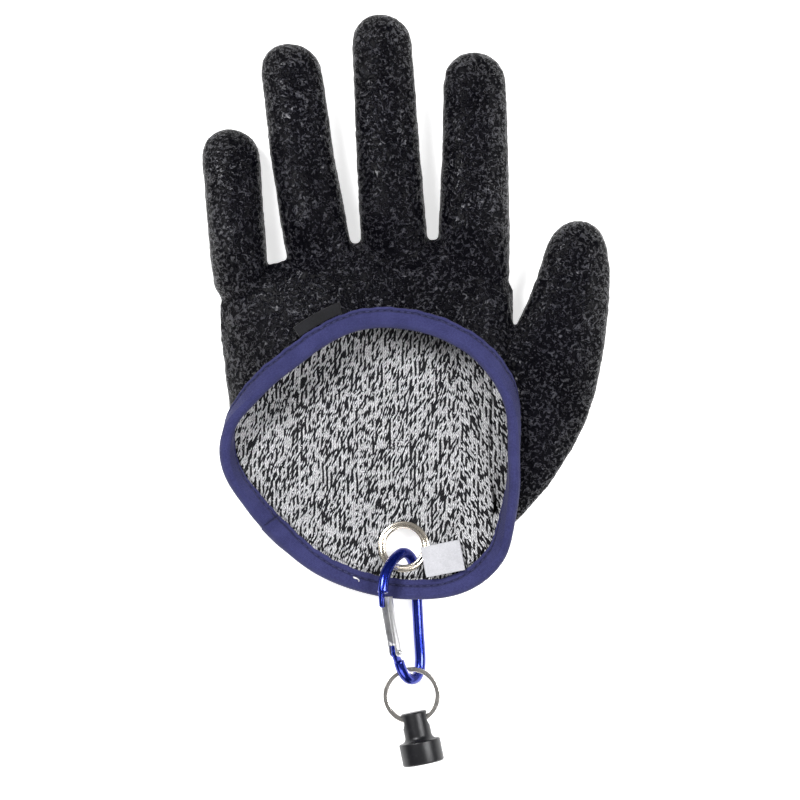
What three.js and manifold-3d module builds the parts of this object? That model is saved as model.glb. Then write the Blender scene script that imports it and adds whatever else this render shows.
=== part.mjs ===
// Landing glove for anglers: a left hand, palm down on a table, seen from its open back.
// The knit is dipped in latex, most of its back is cut away, and a tape binds the rim.
// An eyelet at the heel carries a snap hook, a split ring and a magnet head.
// Millimetres, +Z up. The origin lies on the table under the middle of the palm,
// the fingers point along +Y and the thumb along +X.

import * as THREE from 'three';
import { mergeVertices } from 'three/addons/utils/BufferGeometryUtils.js';
import Module from 'manifold-3d';

const wasm = await Module();
wasm.setup();

// Cloth
const fit = 0.3;
const clothWall = 1.6;
const liningWall = 0.9;
const tapeWall = 0.8;
const tapeLeg = 6.4;
const tapeLap = { turn: 224, span: 9, rise: 0.5 };
const palmReach = 60;
const palmDepth = 22;
const crownRise = 5;
const openingHeight = 40;
const turns = 45;
const clothSteps = 8;
const tapeSlot = 0.35;
const liningGap = 0.9;

// Fingers and thumb
const fingerWidth = 24.5;
const fingerLength = 105;
const fingerRoot = 52;
const fingerDepth = 20;
const fingerFoot = 1;
const fingerNose = 11;
const fingerHeel = 12;
const fingerSides = { outer: 16, inner: 12 };
const thumbLength = 114;
const thumbTip = 82.6;
const thumbWidth = 37;
const thumbDepth = 17;
const thumbFoot = 1;
const thumbNose = { tip: 10, heel: 9 };

// Tabs
const wovenTab = { from: 101.5, to: 122, length: 4.2, wall: 1 };
const sizeTab = { across: 14, along: -4, width: 14.2, height: 11, turn: 11, wall: 0.5, rise: 1.9 };

// Eyelet
const eyeletPlace = { across: 0.2033, along: -0.585, height: 5, tilt: 5 };
const eyelet = { bore: 6.5, barrelWall: 0.4, flange: 9.2, sheet: 0.5, roll: 0.3 };
const bedEdge = { flat: 4, blend: 10 };
const eyeletFoot = { lip: 0.7, sheet: 0.4 };

// Snap hook, in its own frame: across from the spine, along from the foot
const hook = { length: 45.7, width: 19.4, wire: 1.95, sides: 8, steps: 46 };
const hookPlace = { across: 6.3, crest: 1.77, swing: 3.2, roll: 50 };
const tang = { thickness: 1.4, depth: 2, length: 4.4, sunk: 0.3, overlap: 2 };
const hinge = { across: 13.5, along: 10.2, plate: 1.5, shaft: 0.6, head: 0.95, headWall: 0.6 };
const plateReach = { outer: 1.6, inner: 1.3, up: 2.6, down: 1.2 };
const gate = { length: 20.4, depth: 3, thickness: 3.6, sheet: 0.5, slant: 10.5, end: 1.6, bevel: 3 };

// Split ring and magnet head
const ringPlace = { across: -3.5, drop: 6, height: 6.7 };
const ring = { radius: 9.4, band: 1.4, strip: 0.75, gap: 0.2, turns: 2, start: 20 };
const magnetPlace = { across: 0.65, drop: 6, swing: 11.5 };
const magnet = { length: 18.9, base: 7.5, baseLength: 8.3, neck: 4.85 };
const magnetHole = { radius: 2.6, along: 3.0 };
const magnetDisc = { radius: 5.6, depth: 1.4, sunk: 0.3 };
const magnetChamfer = 0.5;
const magnetRim = 0.6;

// The palm by the turn about its middle. rim, contact, flare and draw are shares of palmReach,
// height is a share of palmDepth. rim and height give the middle of the tape, contact where the
// cloth leaves the table, flare and draw how far it bows out. lean is how it leaves the rim:
// 0 outward, 90 down, 180 inward. lining is how far up towards the tape the lining goes.
const palmRows = [
  { turn: 0, rim: 0.865, height: 0.70, lean: 80, contact: 0.63, flare: 0.84, draw: 0.15, lining: 0.3 },
  { turn: 20, rim: 0.900, height: 0.78, lean: 45, contact: 0.70, flare: 0.93, draw: 0.17, lining: 0.25 },
  { turn: 40, rim: 0.887, height: 0.87, lean: 18, contact: 0.83, flare: 1.23, draw: 0.42, lining: 0.15 },
  { turn: 55, rim: 0.853, height: 0.93, lean: 7, contact: 0.93, flare: 1.56, draw: 0.76, lining: 0.1 },
  { turn: 75, rim: 0.810, height: 0.95, lean: 3, contact: 0.93, flare: 1.47, draw: 0.72, lining: 0.1 },
  { turn: 95, rim: 0.778, height: 0.95, lean: 3, contact: 0.87, flare: 1.39, draw: 0.67, lining: 0.1 },
  { turn: 115, rim: 0.735, height: 0.93, lean: 4, contact: 0.87, flare: 1.41, draw: 0.73, lining: 0.1 },
  { turn: 130, rim: 0.722, height: 0.89, lean: 8, contact: 0.83, flare: 1.53, draw: 0.87, lining: 0.1 },
  { turn: 145, rim: 0.752, height: 0.80, lean: 20, contact: 0.77, flare: 1.21, draw: 0.53, lining: 0.15 },
  { turn: 158, rim: 0.795, height: 0.67, lean: 45, contact: 0.72, flare: 1.00, draw: 0.27, lining: 0.5 },
  { turn: 170, rim: 0.852, height: 0.54, lean: 80, contact: 0.67, flare: 0.87, draw: 0.15, lining: 1 },
  { turn: 185, rim: 0.850, height: 0.45, lean: 122, contact: 0.60, flare: 0.78, draw: 0.17, lining: 1 },
  { turn: 205, rim: 0.768, height: 0.34, lean: 152, contact: 0.50, flare: 0.63, draw: 0.20, lining: 1 },
  { turn: 225, rim: 0.733, height: 0.28, lean: 163, contact: 0.40, flare: 0.50, draw: 0.23, lining: 1 },
  { turn: 245, rim: 0.750, height: 0.29, lean: 170, contact: 0.27, flare: 0.41, draw: 0.26, lining: 1 },
  { turn: 265, rim: 0.790, height: 0.34, lean: 174, contact: 0.21, flare: 0.31, draw: 0.38, lining: 1 },
  { turn: 285, rim: 0.868, height: 0.38, lean: 175, contact: 0.20, flare: 0.29, draw: 0.46, lining: 1 },
  { turn: 305, rim: 0.970, height: 0.42, lean: 168, contact: 0.28, flare: 0.43, draw: 0.40, lining: 1 },
  { turn: 320, rim: 0.985, height: 0.48, lean: 140, contact: 0.47, flare: 0.77, draw: 0.22, lining: 1 },
  { turn: 335, rim: 0.917, height: 0.57, lean: 115, contact: 0.55, flare: 0.83, draw: 0.18, lining: 0.8 },
  { turn: 348, rim: 0.881, height: 0.66, lean: 96, contact: 0.60, flare: 0.85, draw: 0.16, lining: 0.45 },
];

// The fingers. rootX and tipX are shares of palmReach, length of fingerLength from the common
// root line, the widths of fingerWidth. bow is a share of fingerWidth.
const fingerRows = [
  { name: 'little', rootX: -0.767, tipX: -0.847, length: 0.606, rootWidth: 0.82, tipWidth: 0.87, bow: 0 },
  { name: 'ring', rootX: -0.233, tipX: -0.487, length: 0.900, rootWidth: 1.02, tipWidth: 0.89, bow: -0.07 },
  { name: 'middle', rootX: 0.175, tipX: 0.063, length: 1, rootWidth: 1.02, tipWidth: 0.87, bow: -0.02 },
  { name: 'index', rootX: 0.610, tipX: 0.625, length: 0.870, rootWidth: 1.12, tipWidth: 0.89, bow: 0.03 },
];

// One finger from its root, buried in the palm, to its tip. crown is a share of fingerDepth and
// lift of fingerFoot.
const fingerSections = [
  { along: 0, crown: 0.62, lift: 1 },
  { along: 0.1, crown: 0.78, lift: 1 },
  { along: 0.2, crown: 0.96, lift: 1 },
  { along: 0.3, crown: 0.99, lift: 1.2 },
  { along: 0.45, crown: 0.91, lift: 1.3 },
  { along: 0.6, crown: 0.84, lift: 1.1 },
  { along: 0.8, crown: 0.78, lift: 0.8 },
  { along: 1, crown: 0.72, lift: 0.6 },
];

// The thumb and its ball from the tip to the heel. left and right are shares of thumbWidth from
// x = thumbLine, crown of thumbDepth. drop lowers the side next to the palm.
const thumbLine = 60;
const thumbRows = [
  { along: 0, left: 0.135, right: 0.675, crown: 0.84, drop: 0 },
  { along: 0.052, left: 0.12, right: 0.67, crown: 0.86, drop: 0 },
  { along: 0.10, left: 0.075, right: 0.695, crown: 0.90, drop: 0 },
  { along: 0.18, left: 0, right: 0.72, crown: 0.96, drop: 0 },
  { along: 0.29, left: -0.14, right: 0.70, crown: 1.0, drop: 0.05 },
  { along: 0.35, left: -0.25, right: 0.682, crown: 0.98, drop: 0.15 },
  { along: 0.45, left: -0.42, right: 0.635, crown: 0.92, drop: 0.35 },
  { along: 0.545, left: -0.50, right: 0.575, crown: 0.82, drop: 0.5 },
  { along: 0.64, left: -0.52, right: 0.48, crown: 0.72, drop: 0.5 },
  { along: 0.735, left: -0.54, right: 0.33, crown: 0.60, drop: 0.35 },
  { along: 0.83, left: -0.56, right: 0.14, crown: 0.50, drop: 0.15 },
  { along: 0.915, left: -0.58, right: -0.08, crown: 0.42, drop: 0 },
  { along: 0.985, left: -0.55, right: -0.20, crown: 0.36, drop: 0 },
];

// The wire of the hook from its nose, over the top, down the spine and up to the hinge.
const hookRows = [
  { across: 0.975, along: 0.700 },
  { across: 0.945, along: 0.765 },
  { across: 0.885, along: 0.830 },
  { across: 0.800, along: 0.880 },
  { across: 0.660, along: 0.935 },
  { across: 0.500, along: 0.978 },
  { across: 0.330, along: 1.000 },
  { across: 0.170, along: 0.980 },
  { across: 0.050, along: 0.920 },
  { across: 0.000, along: 0.830 },
  { across: 0.000, along: 0.600 },
  { across: 0.000, along: 0.350 },
  { across: 0.000, along: 0.140 },
  { across: 0.045, along: 0.060 },
  { across: 0.150, along: 0.010 },
  { across: 0.300, along: 0.000 },
  { across: 0.450, along: 0.030 },
  { across: 0.560, along: 0.090 },
  { across: 0.625, along: 0.155 },
];

const rad = THREE.MathUtils.degToRad;
const mix = THREE.MathUtils.lerp;

// Reads a column of a table between its rows, on a smooth curve. Round tables repeat after 360.
function readColumn(rows, key, column, at, round) {
  const n = rows.length;
  const row = (i) => rows[round ? ((i % n) + n) % n : THREE.MathUtils.clamp(i, 0, n - 1)];
  const place = (i) => row(i)[key] + (round ? 360 * Math.floor(i / n) : 0);
  const last = round ? n - 1 : n - 2;
  let i = 0;
  while (i < last && at >= place(i + 1)) i += 1;
  const span = place(i + 1) - place(i);
  const slope = (k) => {
    const width = place(k + 1) - place(k - 1);
    return width ? ((row(k + 1)[column] - row(k - 1)[column]) / width) * span : 0;
  };
  const t = (at - place(i)) / span;
  const a = row(i)[column];
  const b = row(i + 1)[column];
  const [t2, t3] = [t * t, t * t * t];
  return (2 * t3 - 3 * t2 + 1) * a + (t3 - 2 * t2 + t) * slope(i)
    + (3 * t2 - 2 * t3) * b + (t3 - t2) * slope(i + 1);
}

// Makes a geometry from shared points and triangles, with its faces pointing out.
function meshOf(points, triangles) {
  const geometry = new THREE.BufferGeometry();
  const numbers = points.flatMap((p) => [p.x, p.y, p.z]);
  geometry.setAttribute('position', new THREE.Float32BufferAttribute(numbers, 3));
  const cross = new THREE.Vector3();
  const volume = triangles.reduce((sum, [a, b, c]) => (
    sum + points[a].dot(cross.crossVectors(points[b], points[c]))), 0);
  geometry.setIndex(triangles.flatMap(([a, b, c]) => (volume > 0 ? [a, b, c] : [a, c, b])));
  return geometry;
}

// Skins a row of rings, each a closed loop with as many points. Its ends are capped flat, or the
// last ring joins the first.
function skin(rings, joined = false) {
  const n = rings[0].length;
  const points = rings.flat();
  const triangles = [];
  const bands = joined ? rings.length : rings.length - 1;
  for (let i = 0; i < bands; i += 1) {
    for (let j = 0; j < n; j += 1) {
      const [a, b] = [i * n + j, i * n + ((j + 1) % n)];
      const next = ((i + 1) % rings.length) * n;
      const [c, d] = [next + j, next + ((j + 1) % n)];
      const across = points[a].distanceTo(points[d]) <= points[b].distanceTo(points[c]);
      triangles.push(...(across ? [[a, b, d], [a, d, c]] : [[a, b, c], [b, d, c]]));
    }
  }
  if (!joined) {
    const cap = (ring, start, forward) => {
      const flat = flatten(ring);
      const turn = Math.sign(THREE.ShapeUtils.area(flat)) * (forward ? 1 : -1);
      THREE.ShapeUtils.triangulateShape(flat, []).forEach(([a, b, c]) => {
        const agrees = THREE.ShapeUtils.area([flat[a], flat[b], flat[c]]) * turn > 0;
        triangles.push((agrees ? [a, b, c] : [a, c, b]).map((k) => k + start));
      });
    };
    cap(rings[0], 0, false);
    cap(rings.at(-1), (rings.length - 1) * n, true);
  }
  return meshOf(points, triangles);
}

// Lays a ring on its own plane, for its cap.
function flatten(ring) {
  const normal = new THREE.Vector3();
  const part = new THREE.Vector3();
  ring.forEach((p, i) => normal.add(part.crossVectors(p, ring[(i + 1) % ring.length])));
  const turn = new THREE.Quaternion().setFromUnitVectors(normal.normalize(), new THREE.Vector3(0, 0, 1));
  return ring.map((p) => p.clone().applyQuaternion(turn)).map((p) => new THREE.Vector2(p.x, p.y));
}

function toSolid(geometry) {
  const bare = new THREE.BufferGeometry();
  bare.setAttribute('position', geometry.getAttribute('position').clone());
  if (geometry.index) bare.setIndex(geometry.index.clone());
  const merged = mergeVertices(bare, 1e-4);
  const mesh = new wasm.Mesh({
    numProp: 3,
    vertProperties: new Float32Array(merged.getAttribute('position').array),
    triVerts: new Uint32Array(merged.index.array),
  });
  return new wasm.Manifold(mesh);
}

function toGeometry(solid) {
  const mesh = solid.getMesh();
  const geometry = new THREE.BufferGeometry();
  geometry.setAttribute('position', new THREE.BufferAttribute(Float32Array.from(mesh.vertProperties), 3));
  geometry.setIndex(new THREE.BufferAttribute(Uint32Array.from(mesh.triVerts), 1));
  return geometry;
}

const join = (geometries) => geometries.map(toSolid).reduce((a, b) => a.add(b));

// The cloth of the palm along one turn, as a curve from the table to the rim: its outer side.
const paths = new Map();
function palmPath(turn) {
  if (paths.has(turn)) return paths.get(turn);
  const read = (column) => readColumn(palmRows, 'turn', column, turn, true);
  const lean = rad(read('lean'));
  const into = new THREE.Vector2(Math.cos(lean), -Math.sin(lean));
  const out = new THREE.Vector2(Math.sin(lean), Math.cos(lean));
  const backFromRim = (tapeLeg - tapeSlot - tapeWall) / 2;
  const rim = new THREE.Vector2(read('rim') * palmReach, read('height') * palmDepth)
    .addScaledVector(into, -backFromRim)
    .addScaledVector(out, clothWall / 2);
  const curve = new THREE.CubicBezierCurve(
    new THREE.Vector2(read('contact') * palmReach, 0),
    new THREE.Vector2(read('flare') * palmReach, 0),
    rim.clone().addScaledVector(into, read('draw') * palmReach),
    rim,
  );
  curve.arcLengthDivisions = 120;
  const path = { curve, rim, into, out, length: curve.getLength(), lining: read('lining') };
  paths.set(turn, path);
  return path;
}

// A point of the cloth's outer side at a distance back from the rim, and its way out.
function clothPlace(turn, back) {
  const path = palmPath(turn);
  const ray = new THREE.Vector2(Math.cos(rad(turn)), Math.sin(rad(turn)));
  const place = path.rim.clone();
  const normal = path.out.clone();
  if (back < 0) {
    place.addScaledVector(path.into, back);
  } else {
    const u = THREE.MathUtils.clamp(1 - back / path.length, 0, 1);
    const along = path.curve.getTangentAt(u);
    place.copy(path.curve.getPointAt(u));
    normal.set(along.y, -along.x);
  }
  const point = new THREE.Vector3(ray.x * place.x, ray.y * place.x, place.y);
  const up = new THREE.Vector3(ray.x * normal.x, ray.y * normal.x, normal.y);
  return { point, up };
}

// Where a cloth meets a place in plan: its distance back from the rim, found by halving.
function backAt(turn, reach, placeAt) {
  let [near, far] = [0, palmPath(turn).length];
  for (let i = 0; i < 40; i += 1) {
    const middle = (near + far) / 2;
    const at = placeAt(turn, middle);
    if (Math.hypot(at.x, at.y) > reach) near = middle;
    else far = middle;
  }
  return near;
}

// Where the eyelet, the hook's foot, the split ring and the magnet head lie, each from the last.
const eyeletAt = new THREE.Vector3(
  eyeletPlace.across * palmReach,
  eyeletPlace.along * palmReach,
  eyeletPlace.height,
);
const hookReach = hookPlace.crest + hook.length * Math.cos(rad(hookPlace.swing));
const hookAt = new THREE.Vector3(
  eyeletAt.x + hookPlace.across,
  eyeletAt.y - hookReach,
  hook.wire + fit,
);
const ringCentre = new THREE.Vector3(
  hookAt.x + ringPlace.across,
  hookAt.y - ringPlace.drop,
  ringPlace.height,
);
const magnetAt = new THREE.Vector3(
  ringCentre.x + magnetPlace.across,
  ringCentre.y - magnetPlace.drop,
  magnet.base,
);

const fullTurn = 360;
const turnOf = (x, y) => (THREE.MathUtils.radToDeg(Math.atan2(y, x)) + fullTurn) % fullTurn;

// The plane that the cloth's outer side lies on at the eyelet. It rises a little towards the rim.
const bedTurn = rad(turnOf(eyeletAt.x, eyeletAt.y));
const bedRise = rad(eyeletPlace.tilt);
const bed = {
  point: eyeletAt,
  up: new THREE.Vector3(-Math.sin(bedRise), 0, Math.cos(bedRise))
    .applyAxisAngle(new THREE.Vector3(0, 0, 1), bedTurn),
};

// A point of the cloth, moved out from its outer side by offset. It is flat under the eyelet.
function clothPoint(turn, back, offset) {
  const { point, up } = clothPlace(turn, back);
  const distance = Math.hypot(point.x - eyeletAt.x, point.y - eyeletAt.y);
  const flatReach = eyelet.flange + bedEdge.flat;
  const share = 1 - THREE.MathUtils.smoothstep(distance, flatReach, flatReach + bedEdge.blend);
  const away = bed.point.clone().sub(point);
  point.z += (share * away.dot(bed.up)) / bed.up.z;
  up.lerp(bed.up.clone().negate(), share).normalize();
  return point.addScaledVector(up, offset);
}

const allTurns = Array.from({ length: turns }, (_, i) => (i * 360) / turns);
const ringAt = (place) => allTurns.map((turn) => place(turn));

// The cloth's rings from the table to the rim. The last ones match the tape's.
function clothRings(offset) {
  const rings = [];
  for (let i = 0; i <= clothSteps; i += 1) {
    const back = (turn) => mix(palmPath(turn).length, tapeLeg, i / clothSteps);
    rings.push(ringAt((turn) => clothPoint(turn, back(turn), offset)));
  }
  rings.push(ringAt((turn) => clothPoint(turn, tapeLeg / 2, offset)));
  rings.push(ringAt((turn) => clothPoint(turn, 0, offset)));
  return rings;
}

// The palm as a closed body. Past the rim it closes over the top.
function palmOuter() {
  const beyond = 3;
  const over = ringAt((turn) => clothPoint(turn, -beyond, 0));
  const top = over.map((p) => new THREE.Vector3(p.x * 0.4, p.y * 0.4, palmDepth + crownRise));
  return skin([...clothRings(0), over, top]);
}

// What is hollow in the palm, with all that lies beyond the rim.
function palmInner() {
  const beyond = 6;
  const side = ringAt((turn) => clothPoint(turn, 0, clothWall));
  const over = ringAt((turn) => clothPoint(turn, -beyond, clothWall));
  const top = over.map((p) => new THREE.Vector3(p.x * 0.4, p.y * 0.4, openingHeight));
  return skin([...clothRings(-clothWall), side, over, top]);
}

// A closed section across a finger, flattened where it lies: an oval of a given power.
function oval(x, y, foot, halfWidth, height, sides, drop = 0) {
  const power = 2.3;
  const round = (value) => Math.sign(value) * Math.abs(value) ** (2 / power);
  return Array.from({ length: sides }, (_, i) => {
    const angle = (i * 2 * Math.PI) / sides;
    const [u, w] = [round(Math.cos(angle)), round(Math.sin(angle))];
    const slope = w > 0 ? 1 - (drop * (1 - u)) / 2 : 1;
    return new THREE.Vector3(x + halfWidth * u, y, foot + (height / 2) * (1 + w * slope));
  });
}

// How much of its width a rounded end has, at a distance from the tip.
function endShare(distance, nose) {
  const share = THREE.MathUtils.clamp(distance / nose, 0, 1);
  return Math.max(Math.sqrt(1 - (1 - share) ** 2.2), 0.08);
}

// A finger's closed body, all its sides moved in by inset.
function finger(row, inset) {
  const length = row.length * fingerLength;
  const tip = fingerRoot + length - inset;
  const start = fingerRoot + inset;
  const nose = fingerNose - inset;
  const sides = inset ? fingerSides.inner : fingerSides.outer;
  const straight = [0, 0.05, 0.13, 0.34, 0.65];
  const ends = inset ? [1, 0.6, 0.25, 0.06] : [1, 0.65, 0.38, 0.18, 0.06, 0];
  const stations = [
    ...straight.map((share) => mix(start, tip - nose, share)),
    ...ends.map((share) => tip - nose * share),
  ];
  const rings = stations.map((y) => {
    const along = (y - fingerRoot) / length;
    const width = fingerWidth * mix(row.rootWidth, row.tipWidth, along);
    const crown = fingerDepth * readColumn(fingerSections, 'along', 'crown', along, false);
    const foot = fingerFoot * readColumn(fingerSections, 'along', 'lift', along, false);
    const bow = row.bow * fingerWidth * 4 * along * (1 - along);
    const x = palmReach * mix(row.rootX, row.tipX, along) + bow;
    const share = Math.min(endShare(tip - y, nose), endShare(y - start + 1, fingerHeel));
    const height = (crown - 2 * inset) * share;
    return oval(x, y, foot + (crown - height) / 2, (width / 2 - inset) * share, height, sides);
  });
  return skin(rings);
}

// The thumb with its ball, from the tip to the heel, its sides moved in by inset.
function thumb(inset) {
  const read = (column, along) => readColumn(thumbRows, 'along', column, along, false);
  const from = inset / thumbLength;
  const to = thumbRows.at(-1).along - inset / thumbLength;
  const tipShare = thumbNose.tip / thumbLength;
  const ends = inset ? [0.06, 0.25, 0.6] : [0, 0.06, 0.18, 0.38, 0.65];
  const steps = inset ? 9 : 12;
  const alongs = [
    ...ends.map((share) => from + share * tipShare),
    ...Array.from({ length: steps + 1 }, (_, i) => mix(from + tipShare, to, i / steps)),
  ];
  const sides = inset ? fingerSides.inner : fingerSides.outer;
  const rings = alongs.map((along) => {
    const [left, right] = [read('left', along), read('right', along)].map((v) => thumbLine + thumbWidth * v);
    const crown = thumbDepth * read('crown', along);
    const tipEnd = endShare((along - from) * thumbLength, thumbNose.tip);
    const share = Math.min(tipEnd, endShare((to - along) * thumbLength + 1, thumbNose.heel));
    const height = (crown - 2 * inset) * share;
    const foot = thumbFoot + (crown - height) / 2;
    const halfWidth = ((right - left) / 2 - inset) * share;
    const y = thumbTip - thumbLength * along;
    return oval((left + right) / 2, y, foot, halfWidth, height, sides, read('drop', along));
  });
  return skin(rings);
}

// Stands a lathe's axis on the cloth at the eyelet, pointing up into the hand.
function standOnBed(geometry, height) {
  const turn = new THREE.Quaternion().setFromUnitVectors(new THREE.Vector3(0, 1, 0), bed.up);
  const place = bed.point.clone().addScaledVector(bed.up, height);
  return geometry.applyQuaternion(turn).translate(place.x, place.y, place.z);
}

const lathe = (profile, sides) => (
  new THREE.LatheGeometry(profile.map(([r, y]) => new THREE.Vector2(r, y)), sides));

const barrel = eyelet.bore + eyelet.barrelWall;
const stack = clothWall + fit + liningWall;

function eyeletHole() {
  const reach = barrel + fit;
  const half = stack * 3;
  return standOnBed(lathe([[0, -half], [reach, -half], [reach, half], [0, half]], 24), 0);
}

function coatedShell() {
  const outer = join([palmOuter(), ...fingerRows.map((row) => finger(row, 0)), thumb(0)]);
  const inner = join([palmInner(), ...fingerRows.map((row) => finger(row, clothWall)), thumb(clothWall)]);
  return toGeometry(outer.subtract(inner).subtract(toSolid(eyeletHole())));
}

// The lining lies on the inner side of the cloth and stops short of the tape's inner leg.
function knitLining() {
  const ringOf = (step, offset) => ringAt((turn) => {
    const { length, lining } = palmPath(turn);
    const end = tapeLeg + (step === clothSteps ? liningGap : 0);
    return clothPoint(turn, mix(length, end, (step / clothSteps) * lining), offset);
  });
  const [low, high] = [-clothWall - fit, -stack];
  const steps = Array.from({ length: clothSteps + 1 }, (_, i) => i);
  const under = steps.map((step) => ringOf(step, low));
  const over = steps.reverse().map((step) => ringOf(step, high));
  return toGeometry(toSolid(skin([...under, ...over])).subtract(toSolid(eyeletHole())));
}

// The tape folds over the rim, with a leg on each side of the cloth.
function edgeBinding() {
  const inner = tapeSlot;
  const rings = allTurns.map((turn) => {
    const near = Math.max(0, 1 - Math.abs(turn - tapeLap.turn) / tapeLap.span);
    const outer = tapeSlot + tapeWall + tapeLap.rise * Math.sqrt(near);
    const [top, bottom] = [outer, -clothWall - outer];
    const [slotTop, slotBottom] = [inner, -clothWall - inner];
    const middle = -clothWall / 2;
    const at = (back, offset) => clothPoint(turn, back, offset);
    return [
      at(tapeLeg, top), at(tapeLeg / 2, top), at(0, top),
      at(-outer * 0.8, mix(top, middle, 0.35)), at(-outer * 0.8, mix(bottom, middle, 0.35)),
      at(0, bottom), at(tapeLeg / 2, bottom), at(tapeLeg, bottom),
      at(tapeLeg, slotBottom), at(tapeLeg / 2, slotBottom), at(-inner, slotBottom),
      at(-inner, slotTop), at(tapeLeg / 2, slotTop), at(tapeLeg, slotTop),
    ];
  });
  return skin(rings, true);
}

// The woven tab lies on the latex, tucked against the tape's outer leg.
function wovenTabBody() {
  const steps = 6;
  const rings = Array.from({ length: steps + 1 }, (_, i) => {
    const turn = mix(wovenTab.from, wovenTab.to, i / steps);
    const start = tapeLeg + fit;
    const backs = [start, start + wovenTab.length / 2, start + wovenTab.length];
    return [
      ...backs.map((back) => clothPoint(turn, back, fit)),
      ...backs.reverse().map((back) => clothPoint(turn, back, fit + wovenTab.wall)),
    ];
  });
  return skin(rings);
}

// The height of the lining's upper side at a place in plan.
function liningHeight(x, y) {
  const turn = turnOf(x, y);
  const onLining = (t, back) => clothPoint(t, back, -stack);
  return onLining(turn, backAt(turn, Math.hypot(x, y), onLining)).z;
}

// The size tab lies over the lining, its near corner on the eyelet's flange, its foot at the tape.
function sizeTabBody() {
  const steps = 3;
  const side = new THREE.Vector2(Math.cos(rad(sizeTab.turn)), Math.sin(rad(sizeTab.turn)));
  const middle = new THREE.Vector2(eyeletAt.x + sizeTab.across, eyeletAt.y + sizeTab.along);
  const corner = (across, along) => {
    const x = middle.x + across * sizeTab.width * side.x - along * sizeTab.height * side.y;
    const y = middle.y + across * sizeTab.width * side.y + along * sizeTab.height * side.x;
    const lift = 2 * fit + (across < 0 ? sizeTab.rise : 0);
    return new THREE.Vector3(x, y, liningHeight(x, y) + lift);
  };
  const [left, right] = [-0.5, 0.5].map((across) => [-0.5, 0.5].map((along) => corner(across, along)));
  const rings = Array.from({ length: steps + 1 }, (_, i) => {
    const [foot, head] = [0, 1].map((k) => left[k].clone().lerp(right[k], i / steps));
    const points = [0, 0.5, 1].map((share) => foot.clone().lerp(head, share));
    const raised = points.map((p) => p.clone().setZ(p.z + sizeTab.wall));
    return [...points, ...raised.reverse()];
  });
  return skin(rings);
}

// The eyelet's flange rests on the lining, and its barrel is rolled out under the palm.
function eyeletBody() {
  const { bore, sheet, roll, flange } = eyelet;
  const top = stack + fit / 2;
  const foot = -fit / 2 - eyeletFoot.sheet;
  const lip = barrel + fit + eyeletFoot.lip;
  return standOnBed(lathe([
    [bore + fit, foot], [lip, foot], [lip, -fit / 2], [barrel, -fit / 2],
    [barrel, top], [flange, top], [flange, top + sheet * 0.6], [barrel + 1.9, top + sheet],
    [barrel + 1.5, top + sheet + roll], [barrel + 0.6, top + sheet + roll * 1.3],
    [bore + 0.2, top + sheet + roll * 0.8], [bore, top + sheet * 0.5], [bore, foot + 2 * fit],
    [bore + fit, foot],
  ], 24), 0);
}

// The hook's wire, and the two flat tangs that its gate closes on and turns on.
function hookPoint(row) {
  return new THREE.Vector3(row.across * hook.width, row.along * hook.length, 0);
}

// The pin's bore, with a little room round the shaft.
function pinHole(length) {
  const radius = hinge.shaft + fit / 2;
  return new THREE.CylinderGeometry(radius, radius, length, 12).rotateX(Math.PI / 2);
}

function carabinerFrame() {
  const path = new THREE.CatmullRomCurve3(hookRows.map(hookPoint), false, 'centripetal');
  const section = new THREE.Shape();
  for (let i = 0; i < hook.sides; i += 1) {
    const angle = ((i + 0.5) * 2 * Math.PI) / hook.sides;
    const reach = hook.wire / Math.cos(Math.PI / hook.sides);
    section[i ? 'lineTo' : 'moveTo'](reach * Math.cos(angle), reach * Math.sin(angle));
  }
  const sweep = { steps: hook.steps, bevelEnabled: false, extrudePath: path };
  const wire = new THREE.ExtrudeGeometry(section, sweep);
  const nose = hookPoint(hookRows[0]);
  const noseHeight = tang.length + tang.overlap;
  const noseBody = new THREE.BoxGeometry(tang.depth, noseHeight, tang.thickness).translate(
    nose.x + hook.wire - tang.depth / 2 - tang.sunk,
    nose.y + tang.overlap / 4 - tang.length / 2,
    0,
  );
  const root = hookPoint(hookRows.at(-1));
  const { outer, inner, up, down } = plateReach;
  const outline = new THREE.Shape([
    new THREE.Vector2(root.x - hook.wire * 0.82, root.y - hook.wire * 0.31),
    new THREE.Vector2(root.x + hook.wire * 0.72, root.y - hook.wire * 0.72),
    new THREE.Vector2(hinge.across + outer, hinge.along - down),
    new THREE.Vector2(hinge.across + outer, hinge.along + up),
    new THREE.Vector2(hinge.across + outer / 8, hinge.along + up),
    new THREE.Vector2(hinge.across - inner * 0.85, hinge.along + up * 0.42),
    new THREE.Vector2(hinge.across - inner, hinge.along - down * 0.67),
  ]);
  const plate = new THREE.ExtrudeGeometry(outline, { depth: hinge.plate, bevelEnabled: false })
    .translate(0, 0, -hinge.plate / 2);
  const hole = pinHole(hinge.plate * 3).translate(hinge.across, hinge.along, 0);
  return toGeometry(join([wire, noseBody, plate]).subtract(toSolid(hole)));
}

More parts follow.
